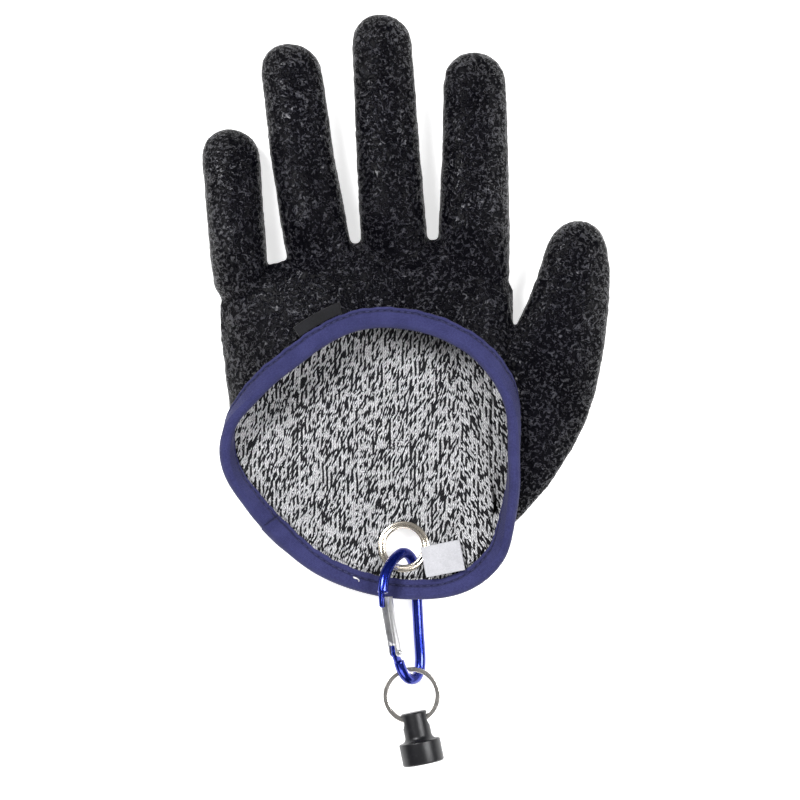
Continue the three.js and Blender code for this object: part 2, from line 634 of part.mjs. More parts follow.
// The gate is a folded channel, open outward, that straddles both tangs.
function carabinerGate() {
  const { length, depth, thickness, sheet, end, bevel } = gate;
  const outline = new THREE.Shape();
  outline.moveTo(-depth / 2, 0);
  outline.absarc(0, 0, end, Math.PI, 2 * Math.PI, false);
  outline.lineTo(depth / 2, end);
  outline.lineTo(depth / 2, length - bevel);
  outline.lineTo(depth / 6, length);
  outline.lineTo(-depth / 2, length);
  const press = { depth: thickness, bevelEnabled: false, curveSegments: 6 };
  const block = new THREE.ExtrudeGeometry(outline, press).translate(0, 0, -thickness / 2);
  const slotLength = length * 2;
  const slot = new THREE.BoxGeometry(depth * 2, slotLength, thickness - 2 * sheet)
    .translate(depth / 2 + sheet, slotLength / 2 - end * 2, 0);
  const heelTop = plateReach.up + 2 * fit;
  const heel = new THREE.BoxGeometry(depth * 4, heelTop + end * 2, thickness - 2 * sheet)
    .translate(0, (heelTop - end * 2) / 2, 0);
  const cuts = [slot, heel, pinHole(thickness * 2)];
  const body = cuts.reduce((solid, cut) => solid.subtract(toSolid(cut)), toSolid(block));
  return toGeometry(body).rotateZ(-rad(gate.slant)).translate(hinge.across, hinge.along, 0);
}

function gatePin() {
  const half = gate.thickness / 2 + 0.15;
  const end = half + hinge.headWall;
  const { shaft, head } = hinge;
  return lathe([
    [0, -end], [head * 0.8, -end], [head, -half - 0.2], [head, -half], [shaft, -half],
    [shaft, half], [head, half], [head, half + 0.2], [head * 0.8, end], [0, end],
  ], 14).rotateX(Math.PI / 2).translate(hinge.across, hinge.along, 0);
}

// The split ring is a flat strip wound twice.
function splitRing() {
  const steps = 46;
  const rise = ring.strip + ring.gap;
  const rings = Array.from({ length: steps + 1 }, (_, i) => {
    const share = i / steps;
    const angle = rad(ring.start) + share * ring.turns * 2 * Math.PI;
    const z = (share - 0.5) * ring.turns * rise;
    const [cos, sin] = [Math.cos(angle), Math.sin(angle)];
    const at = (r, w) => new THREE.Vector3(cos * r, sin * r, z + w);
    const [inside, outside] = [ring.radius - ring.band / 2, ring.radius + ring.band / 2];
    return [
      at(inside, -ring.strip / 2), at(outside, -ring.strip / 2),
      at(outside, ring.strip / 2), at(inside, ring.strip / 2),
    ];
  });
  return skin(rings);
}

function magnetBody() {
  const { base, neck, length, baseLength } = magnet;
  const shoulder = length - baseLength;
  const pocket = magnetDisc.radius + fit;
  const sunk = magnetDisc.depth + magnetDisc.sunk + fit;
  const fillet = base - neck - magnetRim;
  const steps = 4;
  const flare = Array.from({ length: steps + 1 }, (_, i) => {
    const angle = (i / steps) * (Math.PI / 2);
    return [neck + fillet * (1 - Math.cos(angle)), shoulder - fillet * (1 - Math.sin(angle))];
  });
  const body = lathe([
    [0, 0], [neck - magnetChamfer, 0], [neck, magnetChamfer], ...flare,
    [base - magnetRim / 6, shoulder + magnetRim / 2], [base, shoulder + magnetRim],
    [base, length - magnetChamfer],
    [base - magnetChamfer, length], [pocket, length], [pocket, length - sunk], [0, length - sunk],
  ], 22);
  const { radius, along } = magnetHole;
  const hole = new THREE.CylinderGeometry(radius, radius, base * 3, 16).rotateZ(Math.PI / 2)
    .translate(0, along, 0);
  return toGeometry(toSolid(body).subtract(toSolid(hole)));
}

function magnetDiscBody() {
  const { radius, depth, sunk } = magnetDisc;
  return new THREE.CylinderGeometry(radius, radius, depth, 22)
    .translate(0, magnet.length - sunk - depth / 2, 0);
}

const finishes = {
  latex: { color: 0x1d2026, roughness: 0.62, metalness: 0 },
  knit: { color: 0x9c9da0, roughness: 0.95, metalness: 0 },
  tape: { color: 0x3d3b78, roughness: 0.85, metalness: 0 },
  black_tab: { color: 0x15161a, roughness: 0.8, metalness: 0 },
  white_tab: { color: 0xe6e6e8, roughness: 0.7, metalness: 0 },
  nickel: { color: 0xcfc8be, roughness: 0.25, metalness: 1 },
  blue_anodised: { color: 0x1a2bb8, roughness: 0.25, metalness: 0.8 },
  steel: { color: 0xc4c4c6, roughness: 0.3, metalness: 1 },
  black_anodised: { color: 0x2a2a30, roughness: 0.4, metalness: 0.6 },
};

const glove = new THREE.Group();
function addPiece(group, name, geometry, finish) {
  const piece = new THREE.Mesh(geometry, new THREE.MeshStandardMaterial(finishes[finish]));
  piece.name = name;
  group.add(piece);
}

addPiece(glove, 'coated_shell', coatedShell(), 'latex');
addPiece(glove, 'knit_lining', knitLining(), 'knit');
addPiece(glove, 'edge_binding', edgeBinding(), 'tape');
addPiece(glove, 'woven_tab', wovenTabBody(), 'black_tab');
addPiece(glove, 'size_tab', sizeTabBody(), 'white_tab');
addPiece(glove, 'eyelet', eyeletBody(), 'nickel');

const hookGroup = new THREE.Group();
hookGroup.position.copy(hookAt);
hookGroup.rotation.set(0, Math.PI + rad(hookPlace.roll), rad(hookPlace.swing), 'ZYX');
addPiece(hookGroup, 'carabiner_frame', carabinerFrame(), 'blue_anodised');
addPiece(hookGroup, 'carabiner_gate', carabinerGate(), 'steel');
addPiece(hookGroup, 'gate_pin', gatePin(), 'steel');
glove.add(hookGroup);

const ringGroup = new THREE.Group();
ringGroup.position.copy(ringCentre);
addPiece(ringGroup, 'split_ring', splitRing(), 'steel');
glove.add(ringGroup);

const magnetGroup = new THREE.Group();
magnetGroup.position.copy(magnetAt);
magnetGroup.rotation.z = Math.PI + rad(magnetPlace.swing);
addPiece(magnetGroup, 'magnet_body', magnetBody(), 'black_anodised');
addPiece(magnetGroup, 'magnet_disc', magnetDiscBody(), 'steel');
glove.add(magnetGroup);

export default glove;
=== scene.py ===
"""Dresses the landing glove: crinkled latex, the knit inside, bound rim, tabs and its metal fittings."""
import math

import bmesh
import bpy
import numpy as np
from mathutils import Matrix, Quaternion, Vector, noise
from mathutils.bvhtree import BVHTree
from mathutils.kdtree import KDTree


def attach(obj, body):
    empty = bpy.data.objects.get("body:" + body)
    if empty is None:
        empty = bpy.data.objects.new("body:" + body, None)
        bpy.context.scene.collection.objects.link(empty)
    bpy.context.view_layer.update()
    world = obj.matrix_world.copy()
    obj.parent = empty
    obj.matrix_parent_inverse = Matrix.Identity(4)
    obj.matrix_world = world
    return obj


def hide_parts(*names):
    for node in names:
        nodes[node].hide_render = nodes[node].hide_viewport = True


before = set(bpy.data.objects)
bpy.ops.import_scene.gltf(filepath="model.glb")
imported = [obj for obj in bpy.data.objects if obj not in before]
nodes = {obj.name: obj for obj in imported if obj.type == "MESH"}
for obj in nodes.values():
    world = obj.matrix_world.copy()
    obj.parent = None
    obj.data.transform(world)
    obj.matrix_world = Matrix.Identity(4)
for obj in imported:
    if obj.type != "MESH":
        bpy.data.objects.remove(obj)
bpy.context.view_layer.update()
MM = 0.001


def add_object(name, data):
    """Puts data in the scene as an object."""
    made = bpy.data.objects.new(name, data)
    bpy.context.scene.collection.objects.link(made)
    return made


# The camera looks straight down, as the photo does. It comes first.
VIEW_MIDDLE = (10.8, 18.0)
VIEW_WIDTH = 288.0
CAMERA_HEIGHT = 2000.0
SENSOR = 36.0
FOCUS_HEIGHT = 10.0
camera_data = bpy.data.cameras.new("overhead_camera")
camera_data.sensor_width = SENSOR
camera_data.lens = SENSOR * (CAMERA_HEIGHT - FOCUS_HEIGHT) / VIEW_WIDTH
camera_data.clip_start = 0.05
camera_data.clip_end = 20
camera = add_object("overhead_camera", camera_data)
camera.location = (VIEW_MIDDLE[0] * MM, VIEW_MIDDLE[1] * MM, CAMERA_HEIGHT * MM)
bpy.context.scene.camera = camera
bpy.context.scene.view_settings.view_transform = "Standard"

# The rim of the cloth, as the part has it
TAPE_LEG = 6.4
TAPE_SLOT = 0.35
TAPE_WALL = 0.8
CLOTH_WALL = 1.6
PALM_REACH = 60.0
PALM_DEPTH = 22.0
EYELET_AT = np.array([12.198, -35.1, 5.0])
EYELET_TILT = 5.0
EYELET_FLANGE = 9.2
BED_FLAT = 4.0
BED_BLEND = 10.0
bed_turn = math.atan2(EYELET_AT[1], EYELET_AT[0])
bed_rise = math.radians(EYELET_TILT)
BED_UP = np.array([
    -math.sin(bed_rise) * math.cos(bed_turn),
    -math.sin(bed_rise) * math.sin(bed_turn),
    math.cos(bed_rise),
])
CURVE_END = 0.3
CURVE_STEPS = 90
TANGENT_STEP = 0.02
PALM_COLUMNS = ("turn", "rim", "height", "lean", "contact", "flare", "draw")
PALM_ROWS = np.array([
    (0, 0.865, 0.70, 80, 0.63, 0.84, 0.15),
    (20, 0.900, 0.78, 45, 0.70, 0.93, 0.17),
    (40, 0.887, 0.87, 18, 0.83, 1.23, 0.42),
    (55, 0.853, 0.93, 7, 0.93, 1.56, 0.76),
    (75, 0.810, 0.95, 3, 0.93, 1.47, 0.72),
    (95, 0.778, 0.95, 3, 0.87, 1.39, 0.67),
    (115, 0.735, 0.93, 4, 0.87, 1.41, 0.73),
    (130, 0.722, 0.89, 8, 0.83, 1.53, 0.87),
    (145, 0.752, 0.80, 20, 0.77, 1.21, 0.53),
    (158, 0.795, 0.67, 45, 0.72, 1.00, 0.27),
    (170, 0.852, 0.54, 80, 0.67, 0.87, 0.15),
    (185, 0.850, 0.45, 122, 0.60, 0.78, 0.17),
    (205, 0.768, 0.34, 152, 0.50, 0.63, 0.20),
    (225, 0.733, 0.28, 163, 0.40, 0.50, 0.23),
    (245, 0.750, 0.29, 170, 0.27, 0.41, 0.26),
    (265, 0.790, 0.34, 174, 0.21, 0.31, 0.38),
    (285, 0.868, 0.38, 175, 0.20, 0.29, 0.46),
    (305, 0.970, 0.42, 168, 0.28, 0.43, 0.40),
    (320, 0.985, 0.48, 140, 0.47, 0.77, 0.22),
    (335, 0.917, 0.57, 115, 0.55, 0.83, 0.18),
    (348, 0.881, 0.66, 96, 0.60, 0.85, 0.16),
])


def smooth_share(value, low, high):
    """0 below low, 1 above high, on a smooth curve between them."""
    share = np.clip((value - low) / (high - low), 0, 1)
    return share * share * (3 - 2 * share)


def palm_column(name, turn):
    """Reads a column of the palm's table at these turns, on its smooth curve."""
    column = PALM_ROWS[:, PALM_COLUMNS.index(name)]
    starts = PALM_ROWS[:, 0]
    count = len(starts)
    turn = np.mod(turn, 360)
    i = np.searchsorted(starts, turn, side="right") - 1

    def place(k):
        return starts[np.mod(k, count)] + 360.0 * np.floor_divide(k, count)

    def at(k):
        return column[np.mod(k, count)]

    def slope(k):
        return (at(k + 1) - at(k - 1)) / (place(k + 1) - place(k - 1)) * span

    span = place(i + 1) - place(i)
    t = (turn - place(i)) / span
    return ((2 * t**3 - 3 * t**2 + 1) * at(i) + (t**3 - 2 * t**2 + t) * slope(i)
            + (3 * t**2 - 2 * t**3) * at(i + 1) + (t**3 - t**2) * slope(i + 1))


def cloth_places(turn, back, offset):
    """Points of the cloth in mm, back from the rim along each turn and offset out from its outer side."""
    turn, back, offset = np.broadcast_arrays(*(np.asarray(v, float) for v in (turn, back, offset)))
    shape = turn.shape
    turn, back, offset = turn.ravel(), back.ravel(), offset.ravel()
    lean = np.radians(palm_column("lean", turn))
    into = np.stack([np.cos(lean), -np.sin(lean)], 1)
    out = np.stack([np.sin(lean), np.cos(lean)], 1)
    half = (TAPE_LEG - TAPE_SLOT - TAPE_WALL) / 2
    rim = np.stack([palm_column("rim", turn) * PALM_REACH, palm_column("height", turn) * PALM_DEPTH], 1)
    rim = rim - into * half + out * CLOTH_WALL / 2
    zero = np.zeros(len(turn))
    corners = [
        np.stack([palm_column("contact", turn) * PALM_REACH, zero], 1),
        np.stack([palm_column("flare", turn) * PALM_REACH, zero], 1),
        rim + into * (palm_column("draw", turn) * PALM_REACH)[:, None],
        rim,
    ]
    t = np.linspace(1, CURVE_END, CURVE_STEPS)[None, :, None]
    a, b, c, d = (corner[:, None, :] for corner in corners)
    curve = (1 - t)**3 * a + 3 * (1 - t)**2 * t * b + 3 * (1 - t) * t**2 * c + t**3 * d
    steps = np.linalg.norm(np.diff(curve, axis=1), axis=2)
    gone = np.concatenate([np.zeros((len(turn), 1)), np.cumsum(steps, 1)], 1)
    place = np.empty((len(turn), 2))
    ahead = np.empty((len(turn), 2))
    for k in range(len(turn)):
        if back[k] < 0:
            place[k] = rim[k] + into[k] * back[k]
            ahead[k] = -into[k]
        else:
            near, far = (np.array([np.interp(spot, gone[k], curve[k, :, axis]) for axis in (0, 1)])
                         for spot in (back[k], back[k] + TANGENT_STEP))
            place[k] = near
            ahead[k] = (near - far) / np.linalg.norm(near - far)
    normal = np.stack([ahead[:, 1], -ahead[:, 0]], 1)
    ray = np.stack([np.cos(np.radians(turn)), np.sin(np.radians(turn))], 1)
    point = np.concatenate([ray * place[:, :1], place[:, 1:]], 1)
    up = np.concatenate([ray * normal[:, :1], normal[:, 1:]], 1)
    share = 1 - smooth_share(np.linalg.norm(point[:, :2] - EYELET_AT[:2], axis=1),
                             EYELET_FLANGE + BED_FLAT, EYELET_FLANGE + BED_FLAT + BED_BLEND)
    point[:, 2] += share * ((EYELET_AT - point) @ BED_UP) / BED_UP[2]
    up = up * (1 - share[:, None]) - BED_UP * share[:, None]
    up /= np.linalg.norm(up, axis=1)[:, None]
    return (point + up * offset[:, None]).reshape(shape + (3,))


# ---- Making pieces ----
def show(name, mesh, material, replaced=(), body="glove"):
    """Puts a finished mesh in the scene as a piece on its body."""
    piece = add_object(name, mesh)
    mesh.materials.clear()
    mesh.materials.append(material)
    for face in mesh.polygons:
        face.use_smooth = True
    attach(piece, body)
    if replaced:
        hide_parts(*replaced)
    return piece


def cloth_wall(piece, thickness):
    """Gives a sheet its wall in mm, on the inner side."""
    wall = piece.modifiers.new("wall", "SOLIDIFY")
    wall.thickness = thickness * MM
    wall.offset = -1.0


def placed(at, *turns):
    """A place in mm, with turns of (axis, degrees) that act from the last to the first."""
    place = Matrix.Translation(Vector(at) * MM)
    for axis, degrees in turns:
        place = place @ Matrix.Rotation(math.radians(degrees), 4, axis)
    return place


def mesh_from(bm, name, sharp=None):
    """Turns a bmesh into a mesh. Edges sharper than sharp degrees stay crisp."""
    if sharp is not None:
        for edge in bm.edges:
            if len(edge.link_faces) == 2:
                edge.smooth = edge.calc_face_angle(0) < math.radians(sharp)
    mesh = bpy.data.meshes.new(name)
    bm.to_mesh(mesh)
    bm.free()
    return mesh


def merged(node):
    """A copy of a CAD node's mesh with its loose triangles merged."""
    bm = bmesh.new()
    bm.from_mesh(nodes[node].data)
    bmesh.ops.remove_doubles(bm, verts=bm.verts, dist=2e-6)
    return bm


def read(rows, key, width, kind=float):
    """One property of all of a mesh's points, edges or corners, width numbers each."""
    flat = np.empty(len(rows) * width, kind)
    rows.foreach_get(key, flat)
    return flat.reshape(-1, width)


def points_of(mesh):
    """A mesh's points, in metres."""
    return read(mesh.vertices, "co", 3)


def set_points(mesh, points):
    """Moves a mesh's points, in metres."""
    mesh.vertices.foreach_set("co", np.asarray(points, float).ravel())
    mesh.update()


def normals_of(mesh):
    """The outward direction at each of a mesh's points."""
    return read(mesh.vertex_normals, "vector", 3, np.float32).astype(float)


def bent_grid(name, along, across, place, sharp=None, capped=True, shades=None, merge=1e-7):
    """Bends a flat grid into a piece, and caps its open ends unless it is a sheet.

    place takes shares along and across, and gives points in mm. shades names an attribute, and
    the function of the same shares that fills it.
    """
    bm = bmesh.new()
    bmesh.ops.create_grid(bm, x_segments=along, y_segments=across, size=0.5)
    mesh = bpy.data.meshes.new(name)
    bm.to_mesh(mesh)
    bm.free()
    flat = points_of(mesh)
    u, v = flat[:, 0] + 0.5, flat[:, 1] + 0.5
    corner_vertex = read(mesh.loops, "vertex_index", 1, np.int32)[:, 0]
    strip = np.stack([u[corner_vertex], v[corner_vertex]], 1).astype(np.float32)
    mesh.uv_layers.new(name="strip").data.foreach_set("uv", strip.ravel())
    set_points(mesh, place(u, v) * MM)
    if shades:
        label, shade = shades
        attribute = mesh.attributes.new(label, "FLOAT", "POINT")
        attribute.data.foreach_set("value", shade(u, v).astype(np.float32))
    bm = bmesh.new()
    bm.from_mesh(mesh)
    bpy.data.meshes.remove(mesh)
    bmesh.ops.remove_doubles(bm, verts=bm.verts, dist=merge)
    open_edges = [e for e in bm.edges if e.is_boundary]
    if capped and open_edges:
        bmesh.ops.holes_fill(bm, edges=open_edges, sides=0)
    bmesh.ops.recalc_face_normals(bm, faces=bm.faces)
    return mesh_from(bm, name, sharp)


def ease_edges(bm, edges, reach):
    """Takes the sharpness off edges, by a reach in mm."""
    bmesh.ops.bevel(bm, geom=edges, offset=reach * MM, offset_type="OFFSET", segments=2, profile=0.5,
                    affect="EDGES", clamp_overlap=True, material=-1)


def turned(name, profile, steps, matrix, sharp):
    """Spins a profile of (radius, height) pairs in mm about Z, closed at its axis, and places it."""
    bm = bmesh.new()
    verts = [bm.verts.new((r * MM, 0, h * MM)) for r, h in profile]
    edges = [bm.edges.new(pair) for pair in zip(verts, verts[1:])]
    bmesh.ops.spin(bm, geom=verts + edges, cent=(0, 0, 0), axis=(0, 0, 1), dvec=(0, 0, 0),
                   angle=2 * math.pi, steps=steps, use_merge=True, use_duplicate=False)
    bmesh.ops.remove_doubles(bm, verts=bm.verts, dist=1e-7)
    bmesh.ops.recalc_face_normals(bm, faces=bm.faces)
    bmesh.ops.transform(bm, matrix=matrix, verts=bm.verts)
    return mesh_from(bm, name, sharp)


def round_corners(points, radii, steps=5):
    """A profile with each inner corner rounded: points in (radius, height), one radius for each."""
    most = 0.45
    made = [points[0]]
    for before, corner, after, radius in zip(points, points[1:], points[2:], radii[1:]):
        a, c, b = (np.array(p, float) for p in (before, corner, after))
        into, out = a - c, b - c
        reach = min(radius, most * np.linalg.norm(into), most * np.linalg.norm(out))
        start, end = c + into / np.linalg.norm(into) * reach, c + out / np.linalg.norm(out) * reach
        if reach < 1e-6:
            made.append(tuple(c))
            continue
        for k in range(steps + 1):
            t = k / steps
            made.append(tuple((1 - t)**2 * start + 2 * t * (1 - t) * c + t**2 * end))
    made.append(points[-1])
    return made


def blend(a, b, since, until, t):
    """What lies between a at since and b at until, at t."""
    return (until - t) / (until - since) * a + (t - since) / (until - since) * b


def smooth_line(points, per_span):
    """A centripetal curve through points in mm, with per_span steps between them."""
    points = np.asarray(points, float)
    ends = np.vstack([2 * points[0] - points[1], points, 2 * points[-1] - points[-2]])
    line = []
    for i in range(1, len(ends) - 2):
        near = ends[i - 1:i + 3]
        knots = np.cumsum([0.0] + [np.linalg.norm(b - a)**0.5 for a, b in zip(near, near[1:])])
        for t in np.linspace(knots[1], knots[2], per_span, endpoint=False):
            row = near
            for span in (1, 2):
                row = [blend(row[k], row[k + 1], knots[k], knots[k + span], t) for k in range(len(row) - 1)]
            line.append(blend(row[0], row[1], knots[1], knots[2], t))
    line.append(ends[-2])
    return np.array(line)


def along_line(line, share):
    """Places and directions at these shares of a line's length."""
    gone = np.concatenate([[0], np.cumsum(np.linalg.norm(np.diff(line, axis=0), axis=1))])
    at = share * gone[-1]
    step = gone[-1] * 0.002

    def spots(reach):
        return np.stack([np.interp(reach, gone, line[:, k]) for k in range(3)], -1)

    ahead = spots(at + step) - spots(at - step)
    return spots(at), ahead / np.linalg.norm(ahead, axis=-1, keepdims=True)


# ---- Materials ----
class Look:
    """A node tree being put together, for a material or for a group that materials share."""

    def __init__(self, tree):
        self.tree = tree

    def add(self, kind, inputs=None, **settings):
        node = self.tree.nodes.new(kind)
        for key, value in settings.items():
            setattr(node, key, value)
        for key, value in (inputs or {}).items():
            self.put(node.inputs[key], value)
        return node

    def put(self, socket, value):
        if hasattr(value, "is_output"):
            self.tree.links.new(value, socket)
        else:
            socket.default_value = value

    def math(self, operation, a, b=0.0, c=0.0, clamp=False):
        node = self.add("ShaderNodeMath", operation=operation, use_clamp=clamp)
        for socket, value in zip(node.inputs, (a, b, c)):
            self.put(socket, value)
        return node.outputs[0]

    def plus(self, a, b, clamp=False):
        return self.math("ADD", a, b, clamp=clamp)

    def minus(self, a, b):
        return self.math("SUBTRACT", a, b)

    def times(self, a, b):
        return self.math("MULTIPLY", a, b)

    def ramp(self, value, low, high, to_low=0.0, to_high=1.0):
        levels = {"Value": value, "From Min": low, "From Max": high, "To Min": to_low, "To Max": to_high}
        node = self.add("ShaderNodeMapRange", levels, interpolation_type="SMOOTHSTEP")
        return node.outputs["Result"]

    def mix(self, share, a, b):
        node = self.add("ShaderNodeMix", data_type="RGBA")
        self.put(node.inputs["Factor"], share)
        self.put(node.inputs[6], a)
        self.put(node.inputs[7], b)
        return node.outputs[2]

    def mapped(self, vector, scale, turn=(0, 0, 0), shift=(0, 0, 0)):
        changes = {"Vector": vector, "Scale": scale, "Rotation": turn, "Location": shift}
        return self.add("ShaderNodeMapping", changes).outputs[0]

    def noise(self, vector, scale, detail=2.0, rough=0.5, distortion=0.0):
        node = self.add("ShaderNodeTexNoise", {"Vector": vector, "Scale": scale, "Detail": detail,
                                               "Roughness": rough, "Distortion": distortion})
        return node.outputs[0]


def shared_group(name, values, outputs):
    """A new node group that takes a place and these values, and gives these outputs."""
    tree = bpy.data.node_groups.new(name, "ShaderNodeTree")
    tree.interface.new_socket(name="Place", in_out="INPUT", socket_type="NodeSocketVector")
    for label, default in values.items():
        socket = tree.interface.new_socket(name=label, in_out="INPUT", socket_type="NodeSocketFloat")
        socket.default_value = default
    for label in outputs:
        tree.interface.new_socket(name=label, in_out="OUTPUT", socket_type="NodeSocketFloat")
    look = Look(tree)
    return look, look.add("NodeGroupInput").outputs, look.add("NodeGroupOutput").inputs


def use_group(look, group, **inputs):
    """Adds a shared group to a material, and gives its outputs."""
    node = look.add("ShaderNodeGroup", node_tree=group)
    for key, value in inputs.items():
        look.put(node.inputs[key.replace("_", " ")], value)
    return node.outputs


def finish_material(name, base, roughness, metallic=0.0, **plain):
    """A material with its shader; base and roughness are plain values that nodes may replace."""
    material = bpy.data.materials.new(name)
    material.use_nodes = True
    material.diffuse_color = (*base, 1)
    look = Look(material.node_tree)
    shader = material.node_tree.nodes["Principled BSDF"]
    shader.inputs["Base Color"].default_value = (*base, 1)
    shader.inputs["Roughness"].default_value = roughness
    shader.inputs["Metallic"].default_value = metallic
    for key, value in plain.items():
        shader.inputs[key.replace("_", " ")].default_value = value
    return material, look, shader.inputs


def bump(look, shader, height, distance, strength=1.0):
    """Lets a height pattern tilt the surface."""
    node = look.add("ShaderNodeBump", {"Height": height, "Distance": distance, "Strength": strength})
    look.put(shader["Normal"], node.outputs[0])


def object_place(look):
    """Where a point is in the shared frame, for patterns."""
    return look.add("ShaderNodeTexCoord").outputs["Object"]


def thin_lines(look, value, count):
    """Thin ridges along the levels of a soft pattern; count says how close they run."""
    wave = look.math("SINE", look.times(value, count))
    return look.minus(1.0, look.math("ABSOLUTE", wave))


# Crinkled latex: short wormlike ridges that run into one another
look, given, put = shared_group("latex_crinkle", {"Spacing": 1.6}, ("Height", "Ridge", "Patch"))
per_ridge = look.math("DIVIDE", 1000.0, given["Spacing"])
bend = look.noise(given["Place"], look.times(per_ridge, 0.72), 2.0, 0.5, 0.6)
bands = thin_lines(look, bend, 10.0)
second_place = look.mapped(given["Place"], (1, 1, 1), (0.7, 0.4, 1.1), (0.3, 0.1, 0.2))
second = look.noise(second_place, look.times(per_ridge, 1.0), 1.0, 0.5, 0.4)
other = thin_lines(look, second, 8.0)
ridges = look.math("MAXIMUM", bands, look.times(other, 0.9))
grain = look.noise(given["Place"], 2600.0, 2.0)
look.put(put["Height"], look.math("MULTIPLY_ADD", grain, 0.12, look.ramp(ridges, 0.15, 0.95)))
look.put(put["Ridge"], look.ramp(ridges, 0.48, 0.86))
look.put(put["Patch"], look.noise(given["Place"], 55.0, 3.0, 0.6))
crinkle = look.tree

# Knit stitches: columns of slanted legs, some in the dark yarn. Towards the thumb they lean back.
LEG_WIDTH = 0.76
COURSE = 1.05
LEAN = 1.65
LEAN_CHANGE = 2.9
LEAN_TURNS_AT = 36.0
LEAN_TURNS_WITHIN = 14.0
CLUMPING = 0.95
look, given, put = shared_group("knit_stitches", {"Dark Share": 0.45}, ("Height", "Dark", "Fuzz"))
drift = {"Vector": given["Place"], "Scale": 140.0, "Detail": 3.0}
wander = look.add("ShaderNodeTexNoise", drift).outputs["Color"]
shifted = look.add("ShaderNodeVectorMath", {0: wander, 1: (0.5, 0.5, 0.5)}, operation="SUBTRACT").outputs[0]
moved = look.add("ShaderNodeVectorMath", {0: shifted, 1: (0.0020, 0.0018, 0.0), 2: given["Place"]},
                 operation="MULTIPLY_ADD").outputs[0]
parts = look.add("ShaderNodeSeparateXYZ", {0: moved}).outputs
legs = look.times(parts["X"], 1000.0 / LEG_WIDTH)
leg = look.math("FLOOR", legs)
across = look.minus(look.math("FRACT", legs), 0.5)
odd = look.math("FLOORED_MODULO", leg, 2.0)
leg_shift = look.add("ShaderNodeTexWhiteNoise", {"W": leg}, noise_dimensions="1D").outputs["Value"]
thumb_reach = look.math("MULTIPLY_ADD", leg, LEG_WIDTH, look.times(leg_shift, LEAN_TURNS_WITHIN))
thumb_side = look.math("GREATER_THAN", thumb_reach, LEAN_TURNS_AT)
leaning = look.math("MULTIPLY_ADD", thumb_side, -LEAN_CHANGE, LEAN)
odd_lean = look.minus(1.0, look.times(odd, 0.25))
slant = look.times(look.times(across, leaning), odd_lean)
rows = look.math("MULTIPLY_ADD", parts["Y"], 1000.0 / COURSE, look.times(leg_shift, 0.5))
courses = look.minus(rows, slant)
course = look.math("FLOOR", courses)
along = look.minus(look.math("FRACT", courses), 0.5)
round_yarn = look.minus(1.0, look.times(look.times(along, along), 4.0))
round_leg = look.minus(1.0, look.times(look.times(across, across), 2.6))
bulge = look.math("POWER", look.math("MAXIMUM", round_yarn, 0.0), 0.6)
cell = look.add("ShaderNodeCombineXYZ", {0: leg, 1: course, 2: 3.0}).outputs[0]
chance = look.add("ShaderNodeTexWhiteNoise", {"Vector": cell}, noise_dimensions="3D").outputs["Value"]
clump = look.noise(look.mapped(given["Place"], (1.0, 1.5, 1.0)), 170.0, 3.0, 0.65)
clumping = look.times(look.minus(clump, 0.5), CLUMPING)
leg_bias = look.times(look.minus(odd, 0.5), 0.3)
bar = look.plus(look.plus(given["Dark Share"], leg_bias), clumping)
is_dark = look.math("LESS_THAN", chance, bar)
fibre_place = look.mapped(given["Place"], (1.0, 0.45, 1.0), (0, 0, -0.5))
look.put(put["Height"], look.times(bulge, round_leg))
look.put(put["Dark"], look.times(is_dark, look.ramp(round_yarn, -0.1, 0.22)))
look.put(put["Fuzz"], look.noise(fibre_place, 2600.0, 3.0, 0.7))
stitches = look.tree

# Woven cloth: threads over and under, for the tape and the tabs
look, given, put = shared_group("fine_weave", {"Pitch": 0.4}, ("Height", "Fleck", "Patch"))
scaled = look.add("ShaderNodeVectorMath", {0: given["Place"]}, operation="SCALE")
look.put(scaled.inputs["Scale"], look.math("DIVIDE", math.pi * 1000.0, given["Pitch"]))
parts = look.add("ShaderNodeSeparateXYZ", {0: scaled.outputs[0]}).outputs
warp = look.math("ABSOLUTE", look.math("SINE", parts["X"]))
weft = look.math("ABSOLUTE", look.math("SINE", parts["Y"]))
check_pattern = look.times(look.math("SINE", parts["X"]), look.math("SINE", parts["Y"]))
over = look.math("GREATER_THAN", check_pattern, 0.0)
warp_on_top = look.times(over, warp)
weft_on_top = look.times(look.minus(1.0, over), weft)
look.put(put["Height"], look.plus(warp_on_top, weft_on_top))
look.put(put["Fleck"], look.noise(given["Place"], 1500.0, 3.0, 0.7))
look.put(put["Patch"], look.noise(given["Place"], 120.0, 2.0, 0.6))
fine_weave = look.tree

# Metal: faint scratches, smudges and worn places
look, given, put = shared_group("metal_wear", {"Roughness": 0.2, "Amount": 1.0},
                                ("Roughness", "Height", "Wear"))
smudge = look.noise(given["Place"], 160.0, 4.0, 0.65)
scratch = look.noise(look.mapped(given["Place"], (1.0, 0.08, 0.35), (0.3, 0.2, 0.6)), 3800.0, 2.0, 0.6)
fine = look.ramp(scratch, 0.62, 0.75)
spread = look.times(look.minus(smudge, 0.5), look.times(given["Amount"], 0.18))
scratched = look.times(fine, look.times(given["Amount"], 0.12))
look.put(put["Roughness"], look.plus(look.plus(given["Roughness"], spread), scratched, clamp=True))
look.put(put["Height"], look.plus(look.times(smudge, 0.4), look.times(fine, -0.25)))
look.put(put["Wear"], look.ramp(look.noise(given["Place"], 420.0, 3.0, 0.7), 0.52, 0.7))
metal_wear = look.tree


CRINKLE_SPACING = 1.45
DARK_SHARE = 0.43
WEAVE_STRIP = (0.30, 0.016)


